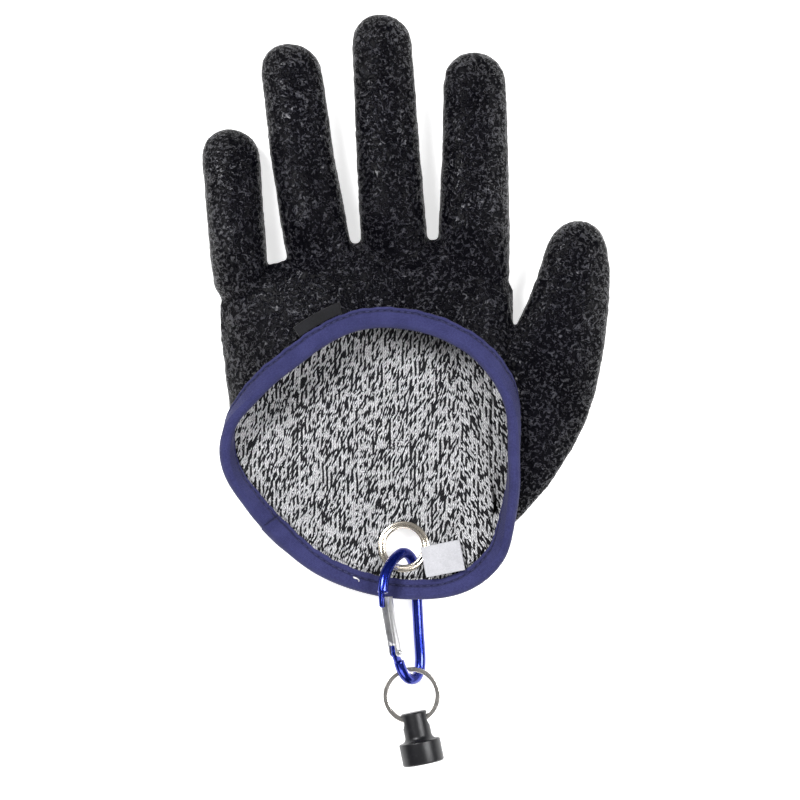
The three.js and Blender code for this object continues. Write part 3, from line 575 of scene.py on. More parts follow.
def latex_material():
    """Black latex with a satin shine on its ridges: partly a real shine, partly a painted highlight, with
    painted shade in the valleys.
    """
    plain = (0.006, 0.006, 0.009)
    material, look, shader = finish_material("crinkled_latex", plain, 0.5, Specular_IOR_Level=0.2)
    out = use_group(look, crinkle, Place=object_place(look), Spacing=CRINKLE_SPACING)
    # Painted highlight and painted shade: the ridges' colour is lighter and the valleys' darker than the
    # latex's own black.
    base = look.mix(out["Ridge"], (0.0010, 0.0010, 0.0022, 1), (0.0190, 0.0190, 0.0275, 1))
    tone = look.mix(look.ramp(out["Patch"], 0.35, 0.7), (0.75, 0.75, 0.78, 1), (1.2, 1.2, 1.2, 1))
    shade = look.add("ShaderNodeMix", data_type="RGBA", blend_type="MULTIPLY")
    shade.inputs["Factor"].default_value = 1.0
    look.put(shade.inputs[6], base)
    look.put(shade.inputs[7], tone)
    look.put(shader["Base Color"], shade.outputs[2])
    look.put(shader["Roughness"], look.ramp(out["Patch"], 0.3, 0.75, 0.27, 0.38))
    look.put(shader["Specular IOR Level"], look.ramp(out["Ridge"], 0.0, 1.0, 0.06, 0.70))
    bump(look, shader, out["Height"], 0.0009, 1.0)
    return material


def knit_material(name):
    """Pale knit with a share of its stitches in dark yarn."""
    material, look, shader = finish_material(name, (0.42, 0.42, 0.43), 0.9, Specular_IOR_Level=0.06)
    out = use_group(look, stitches, Place=object_place(look), Dark_Share=DARK_SHARE)
    light = look.mix(look.ramp(out["Fuzz"], 0.3, 0.7), (0.26, 0.26, 0.275, 1), (0.88, 0.88, 0.90, 1))
    dark = look.mix(out["Fuzz"], (0.002, 0.002, 0.003, 1), (0.018, 0.018, 0.021, 1))
    yarn = look.mix(out["Dark"], light, dark)
    # Painted shade: the colour darkens to near black where the yarn is low, between its legs and courses.
    shade = look.ramp(out["Height"], 0.05, 0.75, 0.22, 1.0)
    colour_with_painted_shade = look.mix(shade, (0.02, 0.02, 0.022, 1), yarn)
    look.put(shader["Base Color"], colour_with_painted_shade)
    bump(look, shader, look.math("MULTIPLY_ADD", out["Fuzz"], 0.25, out["Height"]), 0.0005, 0.9)
    return material


def cloth_material(name, base, light, pitch, rough, depth, strip=None, painted_crease_shade=None):
    """Woven cloth, with painted shade between its threads. strip is the size in metres of its UV map, and
    the last argument names an attribute of painted shade that darkens it.
    """
    material, look, shader = finish_material(name, base, rough, Specular_IOR_Level=0.2, Sheen_Weight=0.1)
    coordinates = look.add("ShaderNodeTexCoord").outputs
    place = look.mapped(coordinates["UV"], (*strip, 1.0)) if strip else coordinates["Object"]
    out = use_group(look, fine_weave, Place=place, Pitch=pitch)
    share = look.plus(look.times(out["Fleck"], 0.55), look.times(out["Patch"], 0.45))
    tone = look.mix(look.ramp(share, 0.35, 0.65), (*base, 1), (*light, 1))
    # Painted shade between the threads: where the weave is low, the colour darkens to four tenths of the
    # base.
    between = (base[0] * 0.4, base[1] * 0.4, base[2] * 0.4, 1)
    colour_with_painted_shade = look.mix(look.ramp(out["Height"], 0.0, 0.6, 0.45, 1.0), between, tone)
    # Painted shade from the attribute, which the tape fills for its seam's groove and the step at its cut
    # end.
    if painted_crease_shade:
        painted_seam_shade = look.add("ShaderNodeAttribute", attribute_name=painted_crease_shade).outputs["Fac"]
        colour_with_painted_shade = look.mix(painted_seam_shade, colour_with_painted_shade, (base[0] * 0.18, base[1] * 0.18, base[2] * 0.22, 1))
    look.put(shader["Base Color"], colour_with_painted_shade)
    bump(look, shader, look.math("MULTIPLY_ADD", out["Fleck"], 0.6, out["Height"]), depth, 0.8)
    return material


def metal_material(name, base, worn, roughness, amount=1.0, metallic=1.0, **plain):
    """Metal with faint wear; amount says how much."""
    material, look, shader = finish_material(name, base, roughness, metallic, **plain)
    out = use_group(look, metal_wear, Place=object_place(look), Roughness=roughness, Amount=amount)
    look.put(shader["Base Color"], look.mix(out["Wear"], (*base, 1), (*worn, 1)))
    look.put(shader["Roughness"], out["Roughness"])
    bump(look, shader, out["Height"], 0.000006, 0.4)
    return material


latex = latex_material()
knit = knit_material("speckled_knit")
# The tape's colour takes painted shade in its seam's groove and at its cut end's step.
tape_cloth = cloth_material("blue_tape", (0.0205, 0.0215, 0.084), (0.036, 0.038, 0.128), 0.42, 0.85, 0.00008,
                            WEAVE_STRIP, "painted_crease_shade")
thread_cloth = cloth_material("blue_thread", (0.018, 0.019, 0.070), (0.04, 0.042, 0.13), 0.2, 0.7, 0.00004)
white_thread = cloth_material("white_thread", (0.62, 0.62, 0.64), (0.85, 0.85, 0.86), 0.2, 0.8, 0.00003)
black_cloth = cloth_material("black_tab_cloth", (0.003, 0.003, 0.004), (0.009, 0.009, 0.012), 0.45, 0.75,
                             0.00006)
white_cloth = cloth_material("white_tab_cloth", (0.40, 0.40, 0.425), (0.50, 0.50, 0.53), 0.3, 0.6, 0.00002)
nickel = metal_material("nickel_plate", (0.72, 0.655, 0.565), (0.60, 0.54, 0.46), 0.22, 0.5)
gate_steel = metal_material("gate_steel", (0.68, 0.68, 0.69), (0.56, 0.56, 0.57), 0.33, 0.8, 0.95)
pin_steel = metal_material("pin_steel", (0.60, 0.60, 0.61), (0.42, 0.42, 0.43), 0.24)
ring_steel = metal_material("ring_steel", (0.66, 0.63, 0.60), (0.46, 0.44, 0.42), 0.22, 1.2)
disc_steel = metal_material("disc_steel", (0.40, 0.40, 0.41), (0.32, 0.32, 0.33), 0.3)
blue_anodised = metal_material("blue_anodised", (0.006, 0.019, 0.27), (0.010, 0.030, 0.36), 0.22, 0.8, 0.85,
                               Coat_Weight=0.6, Coat_Roughness=0.08)
black_anodised = metal_material("black_anodised", (0.007, 0.007, 0.009), (0.014, 0.014, 0.017), 0.38, 0.8,
                                0.3)


# ---- The glove's skin ----
def fine_mesh(node, voxel, name):
    """A CAD solid as a fine even mesh."""
    mesh = mesh_from(merged(node), name + "_rough")
    holder = add_object(name, mesh)
    remesh = holder.modifiers.new("even", "REMESH")
    remesh.mode = "VOXEL"
    remesh.voxel_size = voxel * MM
    made = bpy.data.meshes.new_from_object(holder.evaluated_get(bpy.context.evaluated_depsgraph_get()))
    bpy.data.objects.remove(holder)
    bpy.data.meshes.remove(mesh)
    made.name = name
    return made


def relaxed(mesh, points, passes, free):
    """Smooths a mesh's points over its edges, each as far as it is free, and holds their volume."""
    edges = read(mesh.edges, "vertices", 2, np.int64)
    count = len(points)
    a, b = edges.T
    linked = np.maximum(np.bincount(a, minlength=count) + np.bincount(b, minlength=count), 1)
    for step in range(passes):
        share = 0.55 if step % 2 == 0 else -0.53
        middle = np.stack([np.bincount(a, points[b, k], count) + np.bincount(b, points[a, k], count)
                           for k in range(3)], 1)
        points = points + (middle / linked[:, None] - points) * (share * free)[:, None]
    return points


def shell_sides():
    """The solid shell's outer and inner side as trees, parted from the longest finger's tip on."""
    bm = merged("coated_shell")
    bm.faces.ensure_lookup_table()
    start = max(bm.faces, key=lambda f: f.calc_center_median().y)
    seen = {start.index}
    front = [start]
    limit = math.radians(52)
    while front:
        face = front.pop()
        for edge in face.edges:
            if len(edge.link_faces) != 2 or (edge.is_convex and edge.calc_face_angle(0) > limit):
                continue
            for other in edge.link_faces:
                if other.index not in seen:
                    seen.add(other.index)
                    front.append(other)
    places = [v.co.copy() for v in bm.verts]
    sides = []
    for wanted in (True, False):
        faces = [[v.index for v in f.verts] for f in bm.faces if (f.index in seen) == wanted]
        sides.append(BVHTree.FromPolygons(places, faces))
    bm.free()
    return sides


def is_outside(centre, normal, sides):
    """Whether a place belongs to the shell's outer side: the near side that faces as it does."""
    wrong_way = 2.5 * MM
    reaches = []
    for side in sides:
        spot, facing, _, gap = side.find_nearest(centre)
        reaches.append(gap + (0.0 if facing.dot(normal) > 0.1 else wrong_way))
    return reaches[0] < reaches[1]


def kept_faces(mesh, keep, name):
    """A copy of a mesh with only some of its faces."""
    bm = bmesh.new()
    bm.from_mesh(mesh)
    bm.faces.ensure_lookup_table()
    bmesh.ops.delete(bm, geom=[f for f, k in zip(bm.faces, keep) if not k], context="FACES")
    return mesh_from(bm, name)


def ridge_noise(points, pitch, seed):
    """Lumps and ridges of a pitch in mm at these points in metres, each about -1 to 1."""
    shift = Vector((seed * 3.1, seed * 7.7, seed * 1.3))
    scale = 1000.0 / pitch
    return np.array([noise.noise(Vector(p) * scale + shift) for p in points])


def rim_reach(points):
    """How far points lie from the rim, in mm."""
    return np.array([rim_tree.find(p)[2] for p in points]) / MM


def hole_reach(points):
    """How far points lie from the middle of the eyelet's hole in mm, seen from above."""
    return np.linalg.norm((points - EYELET_AT * MM)[:, :2], axis=1) / MM


SHELL_VOXEL, LINING_VOXEL = ((0.78, 0.5))
SHELL_PASSES, LINING_PASSES = ((90, 40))
# Reliefs: the pitch, height and seed of each
LUMPS = ((9.0, 0.16, 1), (3.6, 0.16, 2))
CREST_PITCH, CREST_HEIGHT, CREST_SEED = 2.6, 0.26, 3
LINING_WAVE_PITCH, LINING_WAVE_HEIGHT, LINING_WAVE_SEED = 11.0, 0.12, 5
RIB_HEIGHT = 0.10
shell = fine_mesh("coated_shell", SHELL_VOXEL, "shell_even")
points = points_of(shell)
rim_tree = KDTree(720)
rim_line = cloth_places(np.arange(0, 360, 0.5), 1.0, -0.8)
for k, p in enumerate(rim_line):
    rim_tree.insert(Vector(p) * MM, k)
rim_tree.balance()
from_hole = points - EYELET_AT * MM
hole_gap = np.linalg.norm(from_hole - (from_hole @ BED_UP)[:, None] * BED_UP, axis=1) / MM
free = np.clip(smooth_share(rim_reach(points), 1.5, 5.0), 0.12, 1) * smooth_share(hole_gap, 8.0, 11.0)
points = relaxed(shell, points, SHELL_PASSES, free)
points[:, 2] = np.maximum(points[:, 2], 0.00002)
set_points(shell, points)
sides = shell_sides()
is_outer = np.array([is_outside(face.center, face.normal, sides) for face in shell.polygons])
skin_mesh = kept_faces(shell, is_outer, "latex_skin")
inside_mesh = kept_faces(shell, ~is_outer, "knit_inside")
bpy.data.meshes.remove(shell)

# The latex is dipped, so it lies in soft lumps with ridges on them. It is plain under the tape.
points = points_of(skin_mesh)
away = normals_of(skin_mesh)
relief = CREST_HEIGHT * (0.4 - np.abs(ridge_noise(points, CREST_PITCH, CREST_SEED)))
for pitch, lump_height, seed in LUMPS:
    relief += lump_height * ridge_noise(points, pitch, seed)
relief *= smooth_share(rim_reach(points), 6.0, 9.0) * smooth_share(hole_reach(points), 9.5, 12.0)
points = points + away * (relief * MM)[:, None]
points[:, 2] = np.maximum(points[:, 2], 0.0)
set_points(skin_mesh, points)
show("latex_skin", skin_mesh, latex, ["coated_shell"])
show("knit_inside", inside_mesh, knit, ["coated_shell"])

# The lining that shows in the palm, with a low rib along each column of stitches
lining_mesh = fine_mesh("knit_lining", LINING_VOXEL, "palm_lining")
points = points_of(lining_mesh)
hole_gap = hole_reach(points)
points = relaxed(lining_mesh, points, LINING_PASSES, smooth_share(hole_gap, 7.5, 9.5))
set_points(lining_mesh, points)
away = normals_of(lining_mesh)
rib = 0.5 - 0.5 * np.cos(points[:, 0] * 1000.0 / (2 * LEG_WIDTH) * 2 * math.pi)
wave = ridge_noise(points, LINING_WAVE_PITCH, LINING_WAVE_SEED)
top_side = smooth_share(away[:, 2], 0.2, 0.6)
relief = RIB_HEIGHT * (rib - 0.5) + LINING_WAVE_HEIGHT * wave
relief *= top_side * smooth_share(hole_gap, 9.5, 12.0)
set_points(lining_mesh, points + away * (relief * MM)[:, None])
show("palm_lining", lining_mesh, knit, ["knit_lining"])

# ---- The blue tape round the rim, its ends lapped at the heel's left ----
TAPE_CLOTH = 0.55
LAP_TURN = 216.0
LAP_END = 233.0
LAP_RISE = 0.6
SEAM_BACK = 5.0
SEAM_DEPTH = 0.42
SEAM_HALF = 0.40
ROUND_STEPS = 720
SECTION_STEPS = 64


def tape_outline(turn, share):
    """Places back from the rim, and their offset, at shares round upper leg, fold and lower leg."""
    lap = smooth_share(turn, LAP_TURN - 0.25, LAP_TURN + 0.25)
    lap = lap * (1 - smooth_share(turn, LAP_END - 9, LAP_END))
    rise = LAP_RISE * lap
    top = TAPE_SLOT + TAPE_WALL
    low = -CLOTH_WALL - top
    knots = [0.0, 0.02, 0.05, 0.44, 0.50, 0.53, 0.56, 0.59, 0.62, 0.68, 0.94, 0.97, 1.0]
    backs = [6.40, 6.36, 6.20, 0.30, -0.62, -1.00, -1.12, -1.00, -0.62, 0.30, 6.20, 6.36, 6.40]
    sides = [0.62, 0.90, 1.0, 1.0, 0.72, 0.35, 0.0, -0.35, -0.72, -1.0, -1.0, -0.90, -0.62]
    back = np.interp(share, knots, backs)
    side = np.interp(share, knots, sides)
    middle = (top + low) / 2
    half = (top - low) / 2
    return back - 0.3 * lap * (back < 0), middle + side * (half + rise)


def seam_back(turn):
    """Where the stitched groove runs, back from the rim: it drifts towards the fold under the hook."""
    return SEAM_BACK - 1.1 * smooth_share(turn, 225, 265) * (1 - smooth_share(turn, 290, 330))


def tape_faces(v):
    """Where a place of the tape lies: 1 on the upper leg, -1 on the lower one, 0 at fold and edges."""
    upper = smooth_share(v, 0.03, 0.06) * (1 - smooth_share(v, 0.44, 0.50))
    lower = smooth_share(v, 0.62, 0.68) * (1 - smooth_share(v, 0.94, 0.97))
    return upper - lower


def tape_crown(back):
    """How far a leg of the tape swells between its edge and the fold, in mm."""
    return 0.24 * np.clip(1 - ((np.asarray(back) - 2.7) / 3.7)**2, 0, 1)


def tape_painted_shade(u, v):
    """How much painted shade lies in the seam's groove and at the step of the cut end's edge, at places of
    the tape, from 0 to 1.
    """
    turn = np.mod(u, 1.0) * 360.0
    back, _ = tape_outline(turn, v)
    seam = 0.85 * np.exp(-((back - seam_back(turn)) / SEAM_HALF)**2)
    end = 0.9 * np.exp(-((turn - LAP_TURN + 0.5) / 0.42)**2)
    return np.clip(np.maximum(seam, end) * np.abs(tape_faces(v)), 0, 1)


def tape_places(u, v):
    """Points of the tape's outer face in mm, with its crown, seam groove and puckers."""
    turn = np.mod(u, 1.0) * 360.0
    back, offset = tape_outline(turn, v)
    around = turn / 360 * 2 * math.pi
    pucker = 0.6 * np.sin(around * 118) + 0.4 * np.sin(around * 43 + 1.3)
    groove = -SEAM_DEPTH * np.exp(-((back - seam_back(turn)) / SEAM_HALF)**2)
    swell = 0.14 * pucker * np.clip(1 - np.abs(back - seam_back(turn)) / 2.2, 0, 1)
    lap_line = -0.35 * np.exp(-((turn - LAP_TURN + 0.6) / 0.5)**2)
    edge_wave = 0.12 * np.sin(around * 31 + 0.4) + 0.08 * np.sin(around * 67)
    shift = tape_faces(v) * (tape_crown(back) + groove + swell + lap_line)
    back = back + edge_wave * smooth_share(back, 3.0, 6.2)
    return cloth_places(turn, back, offset + shift)


tape_sheet = bent_grid("blue_tape", ROUND_STEPS, SECTION_STEPS, tape_places, capped=False,
                       shades=("painted_crease_shade", tape_painted_shade), merge=1e-6)
tape = show("blue_tape", tape_sheet, tape_cloth, ["edge_binding"])
cloth_wall(tape, TAPE_CLOTH)

# Stitches in the seam's groove, a nub of loose thread, and the frayed corner where the tape was cut
STITCH_PITCH = 2.5
STITCH_HALVES = (0.875, 0.19, 0.15)
STITCH_LIFT = 0.13
THREAD_AT = (263.6, 3.1)
THREAD_LINES = [
    (0.19, [(-0.9, 0.5, -0.1), (-0.3, 0.25, 0.45), (0.5, -0.1, 0.5), (1.15, -0.75, 0.3), (1.2, -1.3, 0.15)]),
    (0.15, [(-0.8, 0.2, 0.1), (-0.1, -0.1, 0.55), (0.8, -0.3, 0.6), (1.45, -0.9, 0.4)]),
]
FRAY_RADIUS = 0.11
FRAY_SUNK = 0.5
FRAYS = [
    # turn, back from the rim, and how far its end lies from its root
    (215.4, -0.9, (-1.5, 0.1, -0.2)),
    (215.9, -0.9, (-1.9, -0.5, -0.5)),
    (216.2, -0.9, (-1.2, -1.1, -0.1)),
    (215.1, -0.6, (-1.3, 0.7, -0.5)),
    (216.0, 0.4, (-1.1, 0.5, 0.3)),
]


def tape_top(turn, back, face=1):
    """Places on the tape's upper leg (face 1) or its lower one (face -1)."""
    rise = TAPE_SLOT + TAPE_WALL + tape_crown(back)
    return cloth_places(turn, back, rise if face > 0 else -CLOTH_WALL - rise)


def seam_stitches():
    """A row of short stitches in the groove of each leg."""
    bm = bmesh.new()
    step = 0.5
    for face in (1, -1):
        turn = 0.0
        while turn < 360.0:
            seam = seam_back(turn)
            here, ahead = tape_top(np.array([turn, turn + step]), np.array([seam, seam]), face)
            along = Vector(ahead - here)
            if not LAP_TURN - 1.5 < turn < LAP_TURN + 1.0:
                up = Vector(cloth_places(turn, seam, face) - cloth_places(turn, seam, 0.0)).normalized()
                side = up.cross(along.normalized())
                turned_to = Matrix((along.normalized(), side, up)).transposed().to_4x4()
                place = Matrix.Translation((Vector(here) - up * (SEAM_DEPTH - STITCH_LIFT)) * MM)
                size = Matrix.Diagonal((*(half * MM for half in STITCH_HALVES), 1))
                lying = placed((0, 0, 0), ("Y", 90.0))
                bmesh.ops.create_uvsphere(bm, u_segments=7, v_segments=5, radius=1.0,
                                          matrix=place @ turned_to @ size @ lying)
            turn += STITCH_PITCH * step / along.length
    return mesh_from(bm, "seam_stitches")


def strand(bm, line, radius, sides=7):
    """Adds a thin thread along a line in mm, closed at both ends."""
    end_share = 0.45
    front = None
    for k, point in enumerate(line):
        ahead = Vector(line[min(k + 1, len(line) - 1)] - line[max(k - 1, 0)]).normalized()
        side = ahead.orthogonal().normalized()
        thin = radius * (end_share if k in (0, len(line) - 1) else 1.0)
        ring = []
        for j in range(sides):
            turn = Quaternion(ahead, 2 * math.pi * j / sides)
            ring.append(bm.verts.new(Vector(point) * MM + (turn @ side) * thin * MM))
        edges = [bm.edges.new((ring[j], ring[(j + 1) % sides])) for j in range(sides)]
        if front is None:
            bm.faces.new(ring)
        else:
            bmesh.ops.bridge_loops(bm, edges=front + edges)
        front = edges
    bm.faces.new(ring)


show("seam_stitches", seam_stitches(), thread_cloth)

bm = bmesh.new()
root = tape_top(np.array([THREAD_AT[0]]), np.array([THREAD_AT[1]]), -1)[0]
for radius, bends in THREAD_LINES:
    strand(bm, smooth_line(root + np.array(bends), 4), radius)
bmesh.ops.recalc_face_normals(bm, faces=bm.faces)
show("loose_thread", mesh_from(bm, "loose_thread"), white_thread)

bm = bmesh.new()
for turn, back, reach in FRAYS:
    root = tape_top(np.array([turn]), np.array([back]), -1)[0] - (0, 0, FRAY_SUNK)
    tip = root + reach
    strand(bm, smooth_line([root, (root + tip) / 2 + (0.1, 0.2, 0.15), tip], 4), FRAY_RADIUS, 5)
bmesh.ops.recalc_face_normals(bm, faces=bm.faces)
show("frayed_corner", mesh_from(bm, "frayed_corner"), thread_cloth)

# ---- Tabs ----
WOVEN_TURNS = (101.5, 122.0)
WOVEN_FROM = 6.7
WOVEN_REACH = 4.2
WOVEN_LENGTH = 19.0
WOVEN_CLOTH = 0.4
TAB_MIDDLE = np.array([26.198, -39.1])
TAB_TURN = math.radians(11.0)
TAB_SIZE = (14.2, 11.0)
TAB_CLOTH = 0.32
TAB_LIFT = 0.62


def woven_tab_places(u, v):
    """The small black tab by the tape: a folded end that is a little rounded at its sides."""
    turn = WOVEN_TURNS[0] + u * (WOVEN_TURNS[1] - WOVEN_TURNS[0])
    back = WOVEN_FROM + v * WOVEN_REACH
    end = np.minimum(np.minimum(u, 1 - u) * WOVEN_LENGTH, (1 - v) * WOVEN_REACH)
    return cloth_places(turn, back, 0.45 + 0.75 * np.clip(end / 0.5, 0, 1)**0.5 + 0.10 * np.sin(u * 9.0))


woven_sheet = bent_grid("woven_tab_cloth", 70, 18, woven_tab_places, capped=False)
woven = show("woven_tab_cloth", woven_sheet, black_cloth, ["woven_tab"])
cloth_wall(woven, WOVEN_CLOTH)

tab_solid = merged("size_tab")
tab_tree = BVHTree.FromBMesh(tab_solid)
tab_solid.free()


def size_tab_places(u, v):
    """The white tab, over the solid's upper side, with a soft curl to its free end."""
    side = np.array([math.cos(TAB_TURN), math.sin(TAB_TURN)])
    across, along = (u - 0.5) * TAB_SIZE[0], (v - 0.5) * TAB_SIZE[1]
    x = TAB_MIDDLE[0] + across * side[0] - along * side[1]
    y = TAB_MIDDLE[1] + across * side[1] + along * side[0]
    inner = 0.97
    above = 0.1
    z = np.empty(len(x))
    for k in range(len(x)):
        spot = TAB_MIDDLE + (np.array([x[k], y[k]]) - TAB_MIDDLE) * inner
        z[k] = tab_tree.ray_cast(Vector((*(spot * MM), above)), Vector((0, 0, -1)))[0].z / MM
    swell = 0.55 * np.sin(math.pi * v) * np.sin(math.pi * u)**0.5
    curl = 0.45 * smooth_share(v, 0.55, 1.0)**2 + swell - 0.06 * np.cos(u * 7)
    return np.stack([x, y, z + TAB_LIFT + curl], 1)


white_sheet = bent_grid("size_label", 46, 36, size_tab_places, capped=False)
white_piece = show("size_label", white_sheet, white_cloth, ["size_tab"])
cloth_wall(white_piece, TAB_CLOTH)

# ---- Eyelet ----
FLANGE_FOOT = 2.95
EYELET_PROFILE = [
    (9.2, FLANGE_FOOT), (9.22, FLANGE_FOOT + 0.24), (8.55, FLANGE_FOOT + 0.46), (7.95, FLANGE_FOOT + 0.22),
    (7.78, FLANGE_FOOT + 0.78), (7.2, FLANGE_FOOT + 0.98), (6.62, FLANGE_FOOT + 0.72), (6.5, FLANGE_FOOT),
    (6.5, 0.2), (6.82, -0.5), (7.9, -0.55), (7.9, -0.15), (6.9, -0.15), (6.9, FLANGE_FOOT),
    (9.2, FLANGE_FOOT),
]
EYELET_CORNERS = [0, 0.15, 0.5, 0.2, 0.3, 0.5, 0.3, 0.5, 0.3, 0.3, 0.15, 0.15, 0.1, 0.1, 0]
eyelet_tilt = Vector((0, 0, 1)).rotation_difference(Vector(BED_UP)).to_matrix().to_4x4()
eyelet_profile = round_corners(EYELET_PROFILE, EYELET_CORNERS, 4)
eyelet_mesh = turned("rolled_eyelet", eyelet_profile, 96, placed(EYELET_AT) @ eyelet_tilt, 50)
show("rolled_eyelet", eyelet_mesh, nickel, ["eyelet"])

# ---- Snap hook ----
HOOK_WIDTH = 19.4
HOOK_LENGTH = 45.7
HOOK_WIRE = 1.95
HOOK_ROWS = np.array([
    (0.975, 0.700), (0.945, 0.765), (0.885, 0.830), (0.800, 0.880), (0.660, 0.935), (0.500, 0.978),
    (0.330, 1.000), (0.170, 0.980), (0.050, 0.920), (0.000, 0.830), (0.000, 0.600), (0.000, 0.350),
    (0.000, 0.140), (0.045, 0.060), (0.150, 0.010), (0.300, 0.000), (0.450, 0.030), (0.560, 0.090),
    (0.625, 0.155),
])
HOOK_AT = (18.498, -82.499, 2.25)
HOOK_SWING = 3.2
HOOK_ROLL = 230.0
# Outlines of the flat tangs: the nose's from the wire's end, the hinge's from the rivet
NOSE_OUTLINE = [(-0.95, 0.6), (-0.95, -4.9), (-0.45, -5.2), (0.45, -5.2), (0.95, -4.7), (0.95, 0.6)]
NOSE_PLATE = 1.4
HINGE = (13.5, 10.2)
FOOT_OUTLINE = [(-1.6, -0.6), (1.4, -1.4)]
HINGE_OUTLINE = [(1.3, -1.35), (1.6, -0.9), (1.6, 2.3), (1.2, 2.6), (0.2, 2.6), (-1.1, 1.1), (-1.3, -0.8)]
HINGE_PLATE = 1.5
PLATE_EDGE = 0.16
GATE_EDGE = 0.13
GATE_WIDTH = 3.6
WIRE_RUN = 105.0
WIRE_EASED = 0.55
hook_place = placed(HOOK_AT, ("Z", HOOK_SWING), ("Y", HOOK_ROLL))
hook_spots = HOOK_ROWS * (HOOK_WIDTH, HOOK_LENGTH)
hook_line = smooth_line(np.column_stack([hook_spots, np.zeros(len(HOOK_ROWS))]), 12)


def wire_places(u, v):
    """The hook's round wire, eased at its two ends."""
    place, ahead = along_line(hook_line, u)
    side = np.stack([ahead[:, 1], -ahead[:, 0], np.zeros(len(u))], 1)
    up = np.array([0, 0, 1.0])
    angle = v * 2 * math.pi
    run = np.minimum(u, 1 - u) * WIRE_RUN
    radius = HOOK_WIRE * (1 - 0.28 * np.clip(1 - run / WIRE_EASED, 0, 1)**2)
    ring = side * np.cos(angle)[:, None] + up * np.sin(angle)[:, None]
    return place + ring * radius[:, None]


def plate(bm, outline, thickness, edge):
    """Adds a flat plate with this outline in mm, its edges eased."""
    verts = [bm.verts.new((x * MM, y * MM, -thickness / 2 * MM)) for x, y in outline]
    face = bm.faces.new(verts)
    grown = bmesh.ops.extrude_face_region(bm, geom=[face])["geom"]
    moved = [g for g in grown if isinstance(g, bmesh.types.BMVert)]
    bmesh.ops.translate(bm, vec=(0, 0, thickness * MM), verts=moved)
    everything = set(verts) | set(moved)
    edges = [e for e in bm.edges if e.verts[0] in everything and e.verts[1] in everything]
    bmesh.ops.recalc_face_normals(bm, faces=[f for f in bm.faces if f.verts[0] in everything])
    ease_edges(bm, edges, edge)


hook_mesh = bent_grid("hook_wire", 300, 28, wire_places)
bm = bmesh.new()
bm.from_mesh(hook_mesh)
nose, foot = hook_spots[0], hook_spots[-1]
nose_middle = nose[0] + HOOK_WIRE - 1.0 - 0.3
plate(bm, [(nose_middle + x, nose[1] + y) for x, y in NOSE_OUTLINE], NOSE_PLATE, PLATE_EDGE)
plate(bm, [(foot[0] + x, foot[1] + y) for x, y in FOOT_OUTLINE]
      + [(HINGE[0] + x, HINGE[1] + y) for x, y in HINGE_OUTLINE], HINGE_PLATE, PLATE_EDGE)
bmesh.ops.transform(bm, matrix=hook_place, verts=bm.verts)
show("hook_frame", mesh_from(bm, "hook_frame", 40), blue_anodised, ["carabiner_frame"])

bm = merged("carabiner_gate")
bmesh.ops.dissolve_limit(bm, angle_limit=math.radians(1.0), verts=bm.verts, edges=bm.edges)
corners = [e for e in bm.edges if len(e.link_faces) == 2 and e.calc_face_angle(0) > math.radians(28)]
ease_edges(bm, corners, GATE_EDGE)
show("hook_gate", mesh_from(bm, "hook_gate", 40), gate_steel, ["carabiner_gate"], body="gate")

half = GATE_WIDTH / 2 + 0.15
end = half + 0.6
rivet_side = [
    (0.0, end - 0.28), (0.42, end - 0.28), (0.5, end - 0.02), (0.72, end), (0.95, end - 0.22),
    (0.95, half), (0.6, half),
]
side_corners = [0, 0.1, 0.12, 0.15, 0.15, 0.1]
rivet_profile = rivet_side + [(r, -h) for r, h in reversed(rivet_side)]
rivet_corners = side_corners + [0, 0] + side_corners[:0:-1] + [0]
rivet_profile = round_corners(rivet_profile, rivet_corners, 3)
rivet_mesh = turned("hook_rivet", rivet_profile, 40, hook_place @ placed((*HINGE, 0)), 50)
show("hook_rivet", rivet_mesh, pin_steel, ["gate_pin"])

# ---- Split ring ----
RING_AT = np.array([14.998, -88.499, 6.7])
RING_MIDDLE = 9.4
RING_HALF_RISE = 0.9
RING_HALF_WIDTH = 0.86
RING_HALF_HEIGHT = 0.37
RING_START = math.radians(262.0)
RING_EASING = 0.42


def split_ring_places(u, v):
    """Two turns of flat wire with eased edges, thin at both ends."""
    angle = RING_START + u * 4 * math.pi
    height = (u - 0.5) * 2 * RING_HALF_RISE
    spin = v * 2 * math.pi
    wide = np.sign(np.cos(spin)) * np.abs(np.cos(spin))**RING_EASING * RING_HALF_WIDTH
    tall = np.sign(np.sin(spin)) * np.abs(np.sin(spin))**RING_EASING * RING_HALF_HEIGHT
    taper = np.clip(np.minimum(u, 1 - u) / 0.02, 0, 1)**0.5
    tall, wide = tall * (0.2 + 0.8 * taper), wide * (0.9 + 0.1 * taper)
    reach = RING_MIDDLE + wide
    return RING_AT + np.stack([np.cos(angle) * reach, np.sin(angle) * reach, height + tall], 1)


ring_mesh = bent_grid("key_ring", 420, 20, split_ring_places, 45)
show("key_ring", ring_mesh, ring_steel, ["split_ring"])

# ---- Magnet head ----
MAGNET_LENGTH = 18.9
MAGNET_AT = (15.648, -94.499, 7.5)
MAGNET_SWING = 191.5
NECK_RADIUS = 4.85
FLARE_RADIUS = 2.05
HEAD_RADIUS = 7.5
HEAD_LENGTH = 8.3
SOCKET_RADIUS = 5.9
SOCKET_DEPTH = 2.0
CROSS_HOLE = 2.6
CROSS_HOLE_UP = 3.0
DISC_RADIUS = 5.6
DISC_HEIGHT = 1.4
DISC_SUNK = 0.3
magnet_place = placed(MAGNET_AT, ("Z", MAGNET_SWING), ("X", -90.0))
shoulder = MAGNET_LENGTH - HEAD_LENGTH
flare = [(NECK_RADIUS + FLARE_RADIUS * (1 - math.cos(a)), shoulder - FLARE_RADIUS * (1 - math.sin(a)))
         for a in np.linspace(0, math.pi / 2, 12)]
neck_end = [(0, 0), (NECK_RADIUS - 0.5, 0), (NECK_RADIUS, 0.5)]
